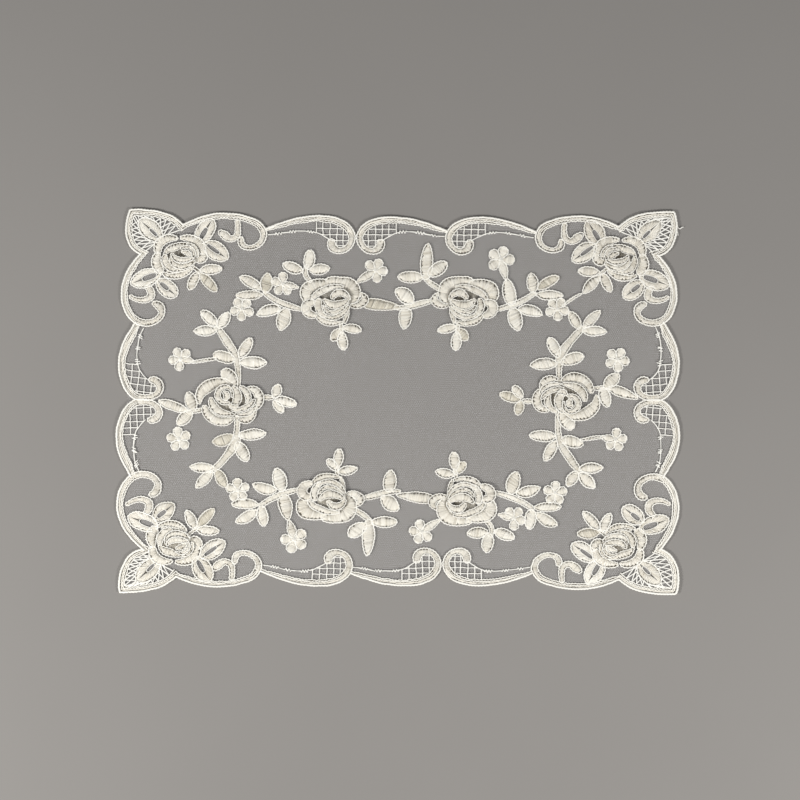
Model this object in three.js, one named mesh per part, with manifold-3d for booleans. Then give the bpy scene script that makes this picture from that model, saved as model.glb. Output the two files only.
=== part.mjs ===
// Lace table cover: a flat mat of sheer net with a corded, scalloped edge and
// ten applied rose sprays. Millimetres, +Z up, X along the long side, Y along
// the short side, lying on the plane z = 0 with the middle of its box at the origin.
import * as THREE from 'three';
import { mergeVertices } from 'three/addons/utils/BufferGeometryUtils.js';
import Module from 'manifold-3d';

const wasm = await Module();
wasm.setup();

// ---- driving dimensions ---------------------------------------------------
const MID = { x: -1.31, y: -1.3 };   // middle of the outline in the tables' own frame
const NET_THICK = 1.0;                  // the net, from the table up
const GAP = 0.3;                        // between two pieces
const WORK_LOW = NET_THICK + GAP;       // underside of the worked pieces
const BORDER_THICK = 1.2;
const SPRAY_THICK = 1.0;
const LIFT = 0.5;                       // each fold of a rose over the one below it
const SIDE_GAP = 0.50;                  // between two worked pieces side by side: 0.3 or more at the facets' corners
const LEAF_STEPS = 4;                   // sections of a leaf, one fewer on a small one
const SMALL_LEAF = 12;                  // width under which a leaf is small
const CORNER_BAND = 6.2;                // width of the band round a corner petal
const NOMINAL_BULGE = { gridL: 10.4, scrollL: 10.6, gridS: 8.6, scrollS: 12.7 };
const IVORY = 0xe9e4d4;
const NET_IVORY = 0xdcd8cc;

// ---- tables: one row for each section, in mm -------------------------------
// Reads a text table whose first line names the columns.
function table(text) {
  const lines = text.trim().split('\n').map((l) => l.trim().split(/\s+/));
  const head = lines.shift();
  return lines.map((w) => Object.fromEntries(head.map((k, i) => [k, Number.isNaN(Number(w[i])) ? w[i] : Number(w[i])])));
}
// Groups rows that follow one another and share a value.
function runs(rows, key) {
  const out = [];
  for (const r of rows) {
    if (!out.length || out[out.length - 1][0][key] !== r[key]) out.push([]);
    out[out.length - 1].push(r);
  }
  return out;
}

// The lobes of the edge, clockwise. a and b are the notches at its two ends,
// bulge is how far the lobe stands out of the line between them, and turn says
// at which end the band curls in (1: b, -1: a).
const LOBES = table(`
name kind ax ay bx by bulge turn
TL petal -207.6 116 -172.4 140.8 0 0
T1 scrollL -172.4 140.8 -105.2 138.4 10.6 1
T2 gridL -105.2 138.4 -34.8 137.2 10.4 1
T3 gridL -34.8 137.2 36.4 136.8 9.7 -1
T4 gridL 36.4 136.8 107.6 136 10.3 -1
T5 scrollL 107.6 136 174.8 139.2 10.2 -1
TR petal 174.8 139.2 207.6 114.4 0 0
R1 scrollS 207.6 114.4 212.4 60.8 11.8 1
R2 gridS 212.4 60.8 217.2 0 9.6 1
R3 gridS 217.2 0 212.4 -60 10 -1
R4 scrollS 212.4 -60 209.2 -118.4 12.8 -1
BR petal 209.2 -118.4 174.8 -144 0 0
B5 scrollL 174.8 -144 104.4 -140 9.6 1
B4 gridL 104.4 -140 34 -138.4 9.6 1
B3 gridL 34 -138.4 -37.2 -140 9.6 -1
B2 gridL -37.2 -140 -109.2 -138.4 9.6 -1
B1 scrollL -109.2 -138.4 -178 -141.6 9.6 -1
BL petal -178 -141.6 -206 -118.4 0 0
L4 scrollS -206 -118.4 -216.4 -59.2 15.2 1
L3 gridS -216.4 -59.2 -218.8 0.8 9.6 1
L2 gridS -218.8 0.8 -212.4 60.8 9.6 -1
L1 scrollS -212.4 60.8 -207.6 116 12.6 -1`);
// Centre line of a lobe's band. u runs from the plain notch (0) to the curled
// one (1), v is mm in from the line between them, half is the half-width.
const BAND = table(`
kind u v half
gridL -0.035 3.2 1.9
gridL 0.14 -1.3 2.5
gridL 0.32 -5 3
gridL 0.52 -7.3 3.1
gridL 0.70 -6.8 3.3
gridL 0.83 -4 3.4
gridL 0.915 0 3.3
gridL 0.966 8.2 3
gridL 0.91 16 2.8
gridL 0.79 18 3.4
gridL 0.722 10.9 3.6
scrollL -0.03 2.6 2.4
scrollL 0.14 -2.1 2.9
scrollL 0.32 -5.9 3
scrollL 0.51 -7.6 3
scrollL 0.69 -6.6 3.1
scrollL 0.82 -3.9 3.1
scrollL 0.91 0.2 3.2
scrollL 0.958 7.4 3
scrollL 0.89 14.8 2.6
scrollL 0.76 17 2.6
scrollL 0.683 10.1 2.9
gridS -0.03 3 2.8
gridS 0.12 -0.4 3.2
gridS 0.30 -4.2 3.4
gridS 0.48 -5.5 3.4
gridS 0.66 -4 3.5
gridS 0.80 -0.8 3.5
gridS 0.90 4 3.4
gridS 0.966 13 3
gridS 0.93 21.8 2.8
gridS 0.82 26.4 3.2
gridS 0.712 20 3.4
scrollS -0.03 3.4 2.9
scrollS 0.17 -4 3.1
scrollS 0.36 -8.4 3.2
scrollS 0.55 -9.8 3.2
scrollS 0.72 -7.9 3.3
scrollS 0.85 -3.9 3.4
scrollS 0.94 2.4 3.3
scrollS 0.965 12 3
scrollS 0.88 19.8 2.9
scrollS 0.76 21 3.3
scrollS 0.68 14.8 2.8`);
// The smaller scroll inside a scroll lobe, same columns.
const SCROLL = table(`
kind u v half
scrollL 0.63 -4.4 2.4
scrollL 0.645 5 2.8
scrollL 0.58 10.6 3
scrollL 0.45 5.6 3
scrollS 0.60 -8.5 1.9
scrollS 0.645 3 2.6
scrollS 0.59 11.4 3.2
scrollS 0.46 8.4 3`);
// The pointed petal at each corner: its tip, and how far its two sides bulge.
const TIPS = table(`
name x y
TL -215.6 153.2
TR 220.4 151.2
BR 221.6 -155.8
BL -224.4 -154.4`);
const PETAL_SIDE = table(`
side u v
short 0 0
short .22 5.0
short .5 7.8
short .78 6.6
short 1 0
long 0 0
long .25 2.5
long .5 4.1
long .75 3.6
long 1 0`);

// The motifs, each about the middle of its own rose. A ribbon row is one section
// of a petal, stem or fold; lift counts the folds it lies over.
const ROSE_A = table(`
part x y half lift
fanL 3.2 16 3.2 0
fanL -6.4 15.6 4.8 0
fanL -16 11.2 6 0
fanL -18 3.2 4.8 0
fanL -15.2 -2 2.4 0
fanR 4 13.6 3.6 0
fanR 12 13.2 4.8 0
fanR 19.2 9.2 6 0
fanR 19.6 2.8 4.8 0
fanR 15.2 0.8 2.4 0
side -23.2 6 1.6 0
side -25.6 0.8 3.4 0
side -21.6 -3.2 3.2 0
side -15.6 -3.6 1.8 0
hem -11.6 -13 2.6 0
hem -5.6 -17 2.8 0
hem 3 -17 3 0
hem 11.5 -12 2.8 0
flank 16 -0.4 3.2 0
flank 20.8 -3.2 3.6 0
flank 20.4 -8.8 3.6 0
flank 14.4 -12 2.8 0
heart -8 2 8 0
heart 0 -1.5 12.5 0
heart 8 -3 9 0
cup -12 -2 2 2
cup -6.4 -4.4 3.8 2
cup 0 -4.8 4 2
cup 5 -1 1.8 2`);
const STEM_A = table(`
part x y half lift
branch 23.2 -6.8 2 0
branch 34.4 -4 3.2 0
branch 42.4 -0.8 3.2 0
branch 53.6 6 2.4 0
spine -7.2 -17.6 1.6 0
spine -7.6 -22.4 1.9 0
spine -8 -24.8 1.8 0`);
const LEAF_A = table(`
part bx by tx ty wide peak bow s0 s1 slit
a1 36.8 -5.6 41.6 -24 11.2 0.42 0.8 0.00 0.00 0
a2 40.8 -6.4 60.8 -11.6 9.2 0.45 -1.2 0.00 0.00 0
a4 53.6 5.6 51.2 22.8 9.6 0.50 0 0.00 0.00 0
a5 56 8.8 74 19.2 8.8 0.50 -0.8 0.00 0.00 0
a6 54.4 5.2 77.2 4.4 8.4 0.50 0 0.00 0.00 0
a7 -6.4 -22.4 0.8 -31.2 8.4 0.55 0 0.00 0.00 0
a8 -8 -23.2 -9.6 -39.6 8.4 0.55 0 0.00 0.00 0
a9 -7.6 -20.8 -24 -24 8 0.50 0 0.00 0.00 0`);
const FLOWER_A = table(`
part x y r turn px py
fa 72 -6.4 9.8 58 81.6 -9.2`);
const STEM_A_END = table(`
part x y half lift
stem -19.6 8.8 2.2 0
stem -28.8 14 2.6 0
stem -34.4 19.2 2 0
join -56.8 -5.2 2.1 0
join -49.6 -5.2 2.6 0
join -41.6 -3.2 3 0
join -35.2 -1.6 2.9 0
join -28.4 0 2.1 0`);
const LEAF_A_END = table(`
part bx by tx ty wide peak bow s0 s1 slit
u0 35.2 -3.2 31.6 18.4 10.8 0.35 0 0.00 0.00 0
u1 -32.8 16.8 -31 46.4 10 0.40 0 0.00 0.00 0
u2 -31.2 20 -16.4 30.8 10.4 0.50 0 0.00 0.00 0
u3 -34.4 18.8 -55.6 19.2 9.6 0.50 0 0.00 0.00 0
u4 -43.2 -2 -57.2 8.8 11.2 0.50 0.8 0.00 0.00 0
u5 -48 -5.6 -50.4 -23 10.8 0.40 0 0.00 0.00 0`);
const FLOWER_A_END = table(`
part x y r turn px py
ftr 27 33 11.2 67 31.2 17.6`);
const STEM_A_SIDE = table(`
part x y half lift
stem 17.2 16 2.2 0
stem 21.2 21.6 2.4 0
stem 20 28 2 0`);
const LEAF_A_SIDE = table(`
part bx by tx ty wide peak bow s0 s1 slit
t1 19.6 24.8 17.2 41.2 9.6 0.50 0 0.00 0.00 0
t2 18.4 24 1.6 26.4 9.2 0.50 0 0.00 0.00 0
t3 22.4 24 39.6 29.6 9.2 0.50 0 0.00 0.00 0
join -23.4 -1.4 -56 -5.2 9.2 0.35 0 0.00 0.00 0`);
const FLOWER_A_SIDE = table(`
part x y r turn px py
ftl -34.8 24.5 10.1 41 -19.4 14.6
ftl2 39.2 13.6 9.8 18 26.8 10.8`);
const ROSE_B = table(`
part x y half lift
fanU -22.8 -2.4 2.4 0
fanU -21.6 4.8 4 0
fanU -16 10.4 4.8 0
fanU -8.8 13.6 3.6 0
fanU -1.6 14 2.8 0
bud 4 12.6 3 0
bud 1.6 18 4.8 0
bud -2.4 23.6 3.6 0
fanL -18.4 -6.8 2.8 0
fanL -15.6 -12.4 4 0
fanL -8.8 -17.2 4 0
fanL -0.8 -17.6 3.7 0
fanL 4.8 -15.2 1.8 0
fanR 8.8 -16.4 1.8 0
fanR 14.4 -16.4 3.5 0
fanR 19.2 -13.6 3.2 0
fanR 21.2 -9.2 2 0
far 16.8 8.4 2.4 0
far 22.4 6.4 3.6 0
far 25.2 0.8 4 0
far 23.2 -5.6 3.2 0
heart -9 0 9 0
heart 2 -2 13 0
heart 16.5 -4 9.5 0
swirl 0 10 1.8 2
swirl -6.4 8 2.7 2
swirl -8 2.4 2.7 2
swirl -4.8 -2 2.4 2`);
const STEM_B = table(`
part x y half lift
up 8 16.8 2.4 0
up 7.2 29.6 2.8 0
up 4.8 37.6 3.2 0
up 0 44.8 3.6 0
up -4.8 52 3.2 0
up -8.8 56.8 2.4 0
thin -9.6 32.4 1.4 0
thin -20 30.8 1.6 0
thin -28.8 29.6 1.6 0
bead 26.4 0.8 1.6 0
bead 32.8 1.6 2.4 0
bead 37.6 0.4 1.4 0
down 7.2 -15.2 2.6 0
down 7.2 -24.8 2.6 0
down 6.4 -33.6 4 0
down -2.4 -47.2 3.2 0
down -12 -56.8 2.8 0
left -21.6 -9.2 1.8 0
left -31.2 -10 2.4 0`);
const LEAF_B = table(`
part bx by tx ty wide peak bow s0 s1 slit
l1 8.8 32.8 18.8 49.2 8.8 0.50 0 0.00 0.00 0
l2 8.8 30 31.6 28.8 10 0.50 0 0.00 0.00 0
l3 6.4 31.2 -12 36 10.4 0.50 0 0.00 0.00 0
l4 -8.8 58.4 -21.6 70.8 9.2 0.50 0 0.00 0.00 0
l5 -8 56.8 0.8 69.6 8.8 0.50 0 0.00 0.00 0
l6 -8 55.2 -28 54.4 8.4 0.50 0 0.00 0.00 0
l7 36.8 0.8 40.8 12.4 8 0.50 0 0.00 0.00 0
l8 36.8 0 55.2 -4.8 8.8 0.50 0 0.00 0.00 0
l9 36.4 -0.8 44.4 -10.8 8 0.55 0 0.00 0.00 0
l10 8 -28.8 31.2 -27.2 9.6 0.50 0 0.00 0.00 0
l11 5.6 -28.8 -13.2 -34.4 9.6 0.50 -1.2 0.00 0.00 0
l12 7.2 -33.6 16 -50 9.6 0.50 0 0.00 0.00 0
l13 -10.4 -55.2 -31.2 -54 8.4 0.50 0 0.00 0.00 0
l14 -12 -56.8 -26 -71.2 8.4 0.50 0 0.00 0.00 0
l15 -9.6 -56 -1.2 -70.4 8.8 0.50 0 0.00 0.00 0
l16 -26.8 -10.4 -31.6 6 9.6 0.50 0 0.00 0.00 0
l17 -28.4 -9.6 -40.4 -20.8 9.6 0.50 0 0.00 0.00 0
l18 -30.4 -10 -56.4 -0.8 8 0.50 0 0.00 0.00 0`);
const FLOWER_B = table(`
part x y r turn px py
fl1 -37.6 32 9.8 29 -29.6 30
fl2 -38 -32 10.1 47 -38.4 -18`);
const ROSE_C = table(`
part x y half lift
fanT -16 4 3.6 0
fanT -14.4 9.6 4.4 0
fanT -8 13.2 3.6 0
fanT -0.8 12.8 2 0
fanS -16 0 3.2 0
fanS -17.2 -5.6 4.4 0
fanS -14.4 -12 4 0
hip 6.4 13.2 2.4 0
hip 14.4 11.6 3.2 0
hip 20 7.2 3.6 0
hip 20 1.4 3 0
end 19.4 0.6 2.6 0
end 19.6 -2.6 3.2 0
end 18.4 -5 2.4 0
hem -11.2 -14.8 1.8 0
hem -4.8 -16.4 2.8 0
hem 3.2 -15.6 3.2 0
hem 10.4 -11.2 2 0
heart -8 -2 8 0
heart 2 -2 11.5 0
heart 11 -1 8 0
hood 2.4 0 1.4 2
hood 4.6 5.4 2.4 2
hood 10 6.2 2.2 2
hood 13.4 1.4 1.6 2`);
const STEM_C = table(`
part x y half lift
stem 10 -8 1.8 0
stem 14.4 -11.2 1.6 0
stem 17.2 -13.6 1.9 0`);
const LEAF_C = table(`
part bx by tx ty wide peak bow s0 s1 slit
petal_eye -12.8 11.2 -30.8 28.4 13.6 0.50 0 0.20 0.55 2.1
eye_l -13.6 -14.4 -37.6 -23.2 13.6 0.50 0 0.17 0.62 2.9
eye_b -17.6 -20 -2.4 -32.8 12.8 0.50 0 0.17 0.58 2.2
eye_t 16.4 9.6 28 28.8 13.6 0.50 0 0.12 0.60 2.1
eye_r 21 10.2 40 -3.2 12.8 0.50 0 0.10 0.66 2.1
sprig_a 17 -12.4 35.6 -11.2 8.8 0.50 0 0.00 0.00 0
sprig_b 17.6 -14.4 31.2 -29.2 8.8 0.50 0 0.00 0.00 0
sprig_c 16.2 -12.6 8.8 -28 8.4 0.50 0 0.00 0.00 0`);
const MOTIFS = {
  rose_a: { ribbons: [ROSE_A, STEM_A], leaves: [LEAF_A], flowers: [FLOWER_A] },
  end_a: { ribbons: [STEM_A_END], leaves: [LEAF_A_END], flowers: [FLOWER_A_END] },
  side_a: { ribbons: [STEM_A_SIDE], leaves: [LEAF_A_SIDE], flowers: [FLOWER_A_SIDE] },
  rose_b: { ribbons: [ROSE_B, STEM_B], leaves: [LEAF_B], flowers: [FLOWER_B] },
  rose_c: { ribbons: [ROSE_C], leaves: [], flowers: [] },
  leaf_c: { ribbons: [STEM_C], leaves: [LEAF_C], flowers: [] },
};
// Where each motif is placed; sx and sy of -1 mirror it. Earlier nodes keep
// their whole outline, and a later one is cut back where they meet.
const PLACES = table(`
node motif x y sx sy
corner_spray_top_left rose_c -177.2 116 1 1
corner_spray_top_left leaf_c -177.2 116 1 1
corner_spray_top_right rose_c 178 114.4 -1 1
corner_spray_top_right leaf_c 178 114.4 -1 1
corner_spray_bottom_right rose_c 176.4 -117.6 -1 -1
corner_spray_bottom_right leaf_c 177.8 -118.2 -1 -1
corner_spray_bottom_left rose_c -181.4 -115.6 1 -1
corner_spray_bottom_left leaf_c -179.4 -116 1 -1
rose_spray_left rose_b -137.2 0.8 1 1
rose_spray_right rose_b 134.8 0.4 -1 -1
rose_spray_top_right rose_a 54 79.2 1 1
rose_spray_top_right end_a 54 79.2 1 1
rose_spray_top_left rose_a -54 79.2 -1 1
rose_spray_top_left side_a -54 79.2 -1 1
rose_spray_bottom_left rose_a -57.2 -78.4 -1 -1
rose_spray_bottom_left end_a -57.2 -78.4 -1 -1
rose_spray_bottom_right rose_a 52.4 -80.8 1 -1
rose_spray_bottom_right side_a 52.4 -80.8 1 -1`);

// ---- plane geometry ---------------------------------------------------------
// A smooth line through the sections {x, y, half}, cut into n equal steps.
function smooth(pts, n) {
  const dist = [0];
  for (let i = 1; i < pts.length; i++) dist.push(dist[i - 1] + Math.hypot(pts[i].x - pts[i - 1].x, pts[i].y - pts[i - 1].y));
  const keys = ['x', 'y', 'half'];
  const rate = (i, j, k) => (pts[j][k] - pts[i][k]) / (dist[j] - dist[i]);
  const slope = (i, k) => {
    const last = pts.length - 1;
    if (last === 1) return rate(0, 1, k);
    if (i === 0) return 1.5 * rate(0, 1, k) - 0.5 * rate(1, 2, k);
    if (i === last) return 1.5 * rate(last - 1, last, k) - 0.5 * rate(last - 2, last - 1, k);
    const wa = dist[i + 1] - dist[i];
    const wb = dist[i] - dist[i - 1];
    return (rate(i - 1, i, k) * wa + rate(i, i + 1, k) * wb) / (wa + wb);
  };
  const out = [];
  for (let s = 0; s <= n; s++) {
    const t = (dist[dist.length - 1] * s) / n;
    let i = 0;
    while (i < pts.length - 2 && t > dist[i + 1]) i++;
    const h = dist[i + 1] - dist[i];
    const u = (t - dist[i]) / h;
    const p = {};
    for (const k of keys) {
      p[k] = (2 * u ** 3 - 3 * u ** 2 + 1) * pts[i][k] + (u ** 3 - 2 * u ** 2 + u) * h * slope(i, k)
        + (3 * u ** 2 - 2 * u ** 3) * pts[i + 1][k] + (u ** 3 - u ** 2) * h * slope(i + 1, k);
    }
    out.push(p);
  }
  return out;
}
// The closed outline of a line with half-widths, grown by g, with round ends.
function ribbonOutline(line, g = 0) {
  const left = [];
  const right = [];
  const dir = line.map((p, i) => {
    const a = line[Math.max(0, i - 1)];
    const b = line[Math.min(line.length - 1, i + 1)];
    const l = Math.hypot(b.x - a.x, b.y - a.y) || 1;
    return { x: (b.x - a.x) / l, y: (b.y - a.y) / l };
  });
  line.forEach((p, i) => {
    const h = p.half + g;
    left.push(new THREE.Vector2(p.x - dir[i].y * h, p.y + dir[i].x * h));
    right.push(new THREE.Vector2(p.x + dir[i].y * h, p.y - dir[i].x * h));
  });
  // a blunt end is rounded by one point, a pointed end is that point alone
  const round = (p, d, sign) => new THREE.Vector2(p.x + d.x * sign * (p.half * 0.75 + g), p.y + d.y * sign * (p.half * 0.75 + g));
  const last = line.length - 1;
  const open = line[0].half > 0.01 ? 0 : 1;
  const shut = line[last].half > 0.01 ? last + 1 : last;
  return [...left.slice(open, shut), round(line[last], dir[last], 1), ...right.slice(open, shut).reverse(), round(line[0], dir[0], -1)];
}
// The centre line of a leaf: widest at peak of its length, bowed sideways.
function leafLine(r, n) {
  const l = Math.hypot(r.tx - r.bx, r.ty - r.by);
  const ux = (r.tx - r.bx) / l;
  const uy = (r.ty - r.by) / l;
  const out = [];
  for (let k = 0; k <= n; k++) {
    const t = 0.5 - 0.5 * Math.cos((Math.PI * k) / n);
    const tp = k === 0 || k === n ? 0 : t ** (Math.log(0.5) / Math.log(r.peak));
    const half = tp ? (r.wide / 2) * (4 * tp * (1 - tp)) ** (n > 3 ? 0.62 : 0.4) : 0;
    const o = r.bow * 4 * t * (1 - t);
    out.push({ x: r.bx + ux * l * t - uy * o, y: r.by + uy * l * t + ux * o, half });
  }
  return out;
}
// The outline of a small five-petalled flower, grown by g; the petal nearest
// (px, py) is drawn out to it as a stalk.
function flowerOutline(r, g) {
  const aim = Math.atan2(r.py - r.y, r.px - r.x);
  const reach = Math.hypot(r.px - r.x, r.py - r.y);
  const out = [];
  const at = (a, d, side = 0) => out.push({ x: r.x + Math.cos(a) * d - Math.sin(a) * side, y: r.y + Math.sin(a) * d + Math.cos(a) * side, half: 0 });
  for (let k = 0; k < 5; k++) {
    const a = ((r.turn + 72 * k) * Math.PI) / 180;
    const off = ((((a - aim + Math.PI) % (2 * Math.PI)) + 2 * Math.PI) % (2 * Math.PI)) - Math.PI;
    if (Math.abs(off) <= Math.PI / 5 + 1e-6) {
      for (const side of [-1, 1]) at(aim, reach + g, side * (0.1 * r.r + g));
    } else {
      for (const side of [-1, 1]) at(a, r.r * 0.92 + g, side * (0.24 * r.r + g));
    }
    at(a + Math.PI / 5, r.r * 0.52 + g);
  }
  return out;
}

// ---- the edge ---------------------------------------------------------------
// Sections given along a lobe (u, v) placed between its notches.
function onLobe(lobe, rows) {
  const [fx, fy, cx, cy] = lobe.turn < 0 ? [lobe.bx, lobe.by, lobe.ax, lobe.ay] : [lobe.ax, lobe.ay, lobe.bx, lobe.by];
  const l = Math.hypot(lobe.bx - lobe.ax, lobe.by - lobe.ay);
  // the lobes run clockwise, so inwards is to the right of a -> b
  const nx = (lobe.by - lobe.ay) / l;
  const ny = -(lobe.bx - lobe.ax) / l;
  const g = lobe.bulge / NOMINAL_BULGE[lobe.kind];
  return rows.filter((r) => r.kind === lobe.kind).map((r) => {
    const v = r.v < 0 ? r.v * g : r.v;
    return { x: fx + (cx - fx) * r.u + nx * v, y: fy + (cy - fy) * r.u + ny * v, half: r.half };
  });
}
// The outer line of a corner petal, from notch a over the tip to notch b.
function petalOuter(lobe) {
  const tip = TIPS.find((t) => t.name === lobe.name);
  const side = (nx0, ny0, out) => {
    const l = Math.hypot(nx0 - tip.x, ny0 - tip.y);
    const kind = Math.abs(nx0 - tip.x) > Math.abs(ny0 - tip.y) ? 'long' : 'short';
    const ox = (-(ny0 - tip.y) / l) * out;
    const oy = ((nx0 - tip.x) / l) * out;
    const pts = PETAL_SIDE.filter((r) => r.side === kind)
      .map((r) => ({ x: tip.x + (nx0 - tip.x) * r.u + ox * r.v, y: tip.y + (ny0 - tip.y) * r.u + oy * r.v, half: 0 }));
    return smooth(pts, 4);
  };
  const one = side(lobe.ax, lobe.ay, -1).reverse();
  const two = side(lobe.bx, lobe.by, 1);
  return { one, two, tip };
}
// The band round a corner petal as one closed outline, grown by g.
function petalBand(lobe, g = 0) {
  const { one, two, tip } = petalOuter(lobe);
  const shift = (line, w) => line.map((p, i) => {
    const a = line[Math.max(0, i - 1)];
    const b = line[Math.min(line.length - 1, i + 1)];
    const l = Math.hypot(b.x - a.x, b.y - a.y);
    // both sides run clockwise, so inwards is to the right
    return { x: p.x + ((b.y - a.y) / l) * w, y: p.y - ((b.x - a.x) / l) * w };
  });
  const far = (p, line) => Math.min(...line.map((q) => Math.hypot(p.x - q.x, p.y - q.y)));
  const w = CORNER_BAND + g;
  const in1 = shift(one, w).filter((p) => far(p, two) > w * 1.02);
  const in2 = shift(two, w).filter((p) => far(p, one) > w * 1.02);
  const out = g ? [...shift(one, -g), ...shift(two, -g)] : [...one, ...two.slice(1)];
  return [...out, ...in2.reverse(), ...in1.reverse()].map((p) => new THREE.Vector2(p.x, p.y));
}
// The mat's outline: each lobe's outer edge from notch to notch.
function matOutline() {
  const out = [];
  for (const lobe of LOBES) {
    if (lobe.kind === 'petal') {
      const { one, two } = petalOuter(lobe);
      out.push(...one, ...two.slice(1, -1));
      continue;
    }
    const line = onLobe(lobe, BAND);
    const l = Math.hypot(lobe.bx - lobe.ax, lobe.by - lobe.ay);
    const ux = (lobe.bx - lobe.ax) / l;
    const uy = (lobe.by - lobe.ay) / l;
    const pts = [];
    line.forEach((p, i) => {
      const a = line[Math.max(0, i - 1)];
      const b = line[Math.min(line.length - 1, i + 1)];
      const d = Math.hypot(b.x - a.x, b.y - a.y);
      const s = lobe.turn < 0 ? -1 : 1;
      const x = p.x - ((b.y - a.y) / d) * p.half * s;
      const y = p.y + ((b.x - a.x) / d) * p.half * s;
      const u = ((x - lobe.ax) * ux + (y - lobe.ay) * uy) / l;
      const v = (x - lobe.ax) * uy - (y - lobe.ay) * ux;
      if (v < -0.4 && u > 0.015 && u < 0.985) pts.push({ x, y, u });
    });
    pts.sort((p, q) => p.u - q.u);
    out.push({ x: lobe.ax, y: lobe.ay }, ...pts);
  }
  return out.map((p) => new THREE.Vector2(p.x, p.y));
}

// ---- solids -----------------------------------------------------------------
const grid = (v) => Math.round(v * 1e3) / 1e3;
// A flat solid of a closed outline, between two heights.
function slab(outline, low, high) {
  const pts = outline.map((p) => new THREE.Vector2(grid(p.x - MID.x), grid(p.y - MID.y)));
  const clean = pts.filter((p, i) => p.distanceTo(pts[(i + pts.length - 1) % pts.length]) > 0.02);
  if (THREE.ShapeUtils.area(clean) < 0) clean.reverse();
  let geo = new THREE.ExtrudeGeometry(new THREE.Shape(clean), { depth: high - low, bevelEnabled: false, steps: 1 });
  geo.translate(0, 0, low);
  return toSolid(geo);
}
function toSolid(geometry) {
  let geo = geometry;
  geo.deleteAttribute('normal');
  geo.deleteAttribute('uv');
  geo = mergeVertices(geo, 1e-4);
  return new wasm.Manifold(new wasm.Mesh({
    numProp: 3,
    vertProperties: new Float32Array(geo.attributes.position.array),
    triVerts: new Uint32Array(geo.index.array),
  }));
}
const joinAll = (list) => list.reduce((a, b) => a.add(b));
// The largest body of a solid, for a piece whose cut-back end left a crumb.
function mainBody(solid) {
  const parts = solid.decompose();
  return parts.reduce((a, b) => (b.volume() > a.volume() ? b : a));
}
function toMesh(name, solid, color, roughness) {
  const m = solid.asOriginal().simplify(0.02).getMesh();
  const geo = new THREE.BufferGeometry();
  geo.setAttribute('position', new THREE.BufferAttribute(new Float32Array(m.vertProperties), 3));
  geo.setIndex(new THREE.BufferAttribute(new Uint32Array(m.triVerts), 1));
  const mesh = new THREE.Mesh(geo, new THREE.MeshStandardMaterial({ color, roughness, metalness: 0, name: `${name}_cloth` }));
  mesh.name = name;
  return mesh;
}

// All of the border's outlines, grown by g.
function borderOutlines(g) {
  const out = [];
  for (const lobe of LOBES) {
    if (lobe.kind === 'petal') {
      out.push(petalBand(lobe, g));
      continue;
    }
    out.push(ribbonOutline(onLobe(lobe, BAND), g));
    const scroll = onLobe(lobe, SCROLL);
    if (scroll.length) out.push(ribbonOutline(scroll, g));
  }
  return out;
}
// A motif's pieces as placed outlines with their lifts, grown by g.
function motifPieces(place, g) {
  const motif = MOTIFS[place.motif];
  const put = (p) => ({ x: place.x + place.sx * p.x, y: place.y + place.sy * p.y, half: p.half });
  const out = [];
  for (const t of motif.ribbons) {
    for (const rows of runs(t, 'part')) {
      out.push({ outline: ribbonOutline(rows.map(put), g), lift: rows[0].lift });
    }
  }
  for (const t of motif.leaves) {
    for (const r of t) out.push({ outline: ribbonOutline(leafLine(r, r.wide < SMALL_LEAF ? LEAF_STEPS - 1 : LEAF_STEPS).map(put), g), lift: 0, slit: r.slit ? slitOutline(r).map(put) : null });
  }
  for (const t of motif.flowers) {
    for (const r of t) out.push({ outline: flowerOutline(r, g).map(put), lift: 0 });
  }
  return out;
}
// The open slit along an eye-leaf.
function slitOutline(r) {
  const l = Math.hypot(r.tx - r.bx, r.ty - r.by);
  const at = (t, w) => ({ x: r.bx + (r.tx - r.bx) * t - ((r.ty - r.by) / l) * w, y: r.by + (r.ty - r.by) * t + ((r.tx - r.bx) / l) * w, half: 0 });
  return [at(r.s0, r.slit * 0.3), at(r.s1, r.slit * 0.5), at(r.s1, -r.slit * 0.5), at(r.s0, -r.slit * 0.3)];
}

const cover = new THREE.Group();
cover.name = 'lace_table_cover';
cover.add(toMesh('net_ground', slab(matOutline(), 0, NET_THICK), NET_IVORY, 0.9));
const border = mainBody(joinAll(borderOutlines(0).map((o) => slab(o, WORK_LOW, WORK_LOW + BORDER_THICK))));
cover.add(toMesh('scalloped_border', border, IVORY, 0.85));

// Each spray is the union of its pieces, cut back by its grown neighbours.
const above = WORK_LOW + 4;
let taken = joinAll(borderOutlines(SIDE_GAP).map((o) => slab(o, WORK_LOW - 1, above)));
for (const places of runs(PLACES, 'node')) {
  const pieces = places.flatMap((p) => motifPieces(p, 0));
  let solid = joinAll(pieces.map((p) => slab(p.outline, WORK_LOW, WORK_LOW + SPRAY_THICK + LIFT * p.lift)));
  for (const p of pieces) if (p.slit) solid = solid.subtract(slab(p.slit, WORK_LOW - 1, above));
  solid = mainBody(solid.subtract(taken));
  cover.add(toMesh(places[0].node, solid, IVORY, 0.85));
  const grown = places.flatMap((p) => motifPieces(p, SIDE_GAP));
  taken = taken.add(joinAll(grown.map((p) => slab(p.outline, WORK_LOW - 1, above))));
}

export default cover;
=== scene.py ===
# Lace table cover: sheer net with a corded, scalloped edge and ten applied rose
# sprays, as thread work. Lengths in the tables are in mm, in the same plan frame
# as the solids before MID is taken off.
import math
import bpy
import numpy as np
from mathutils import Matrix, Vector
from mathutils.geometry import delaunay_2d_cdt


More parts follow.
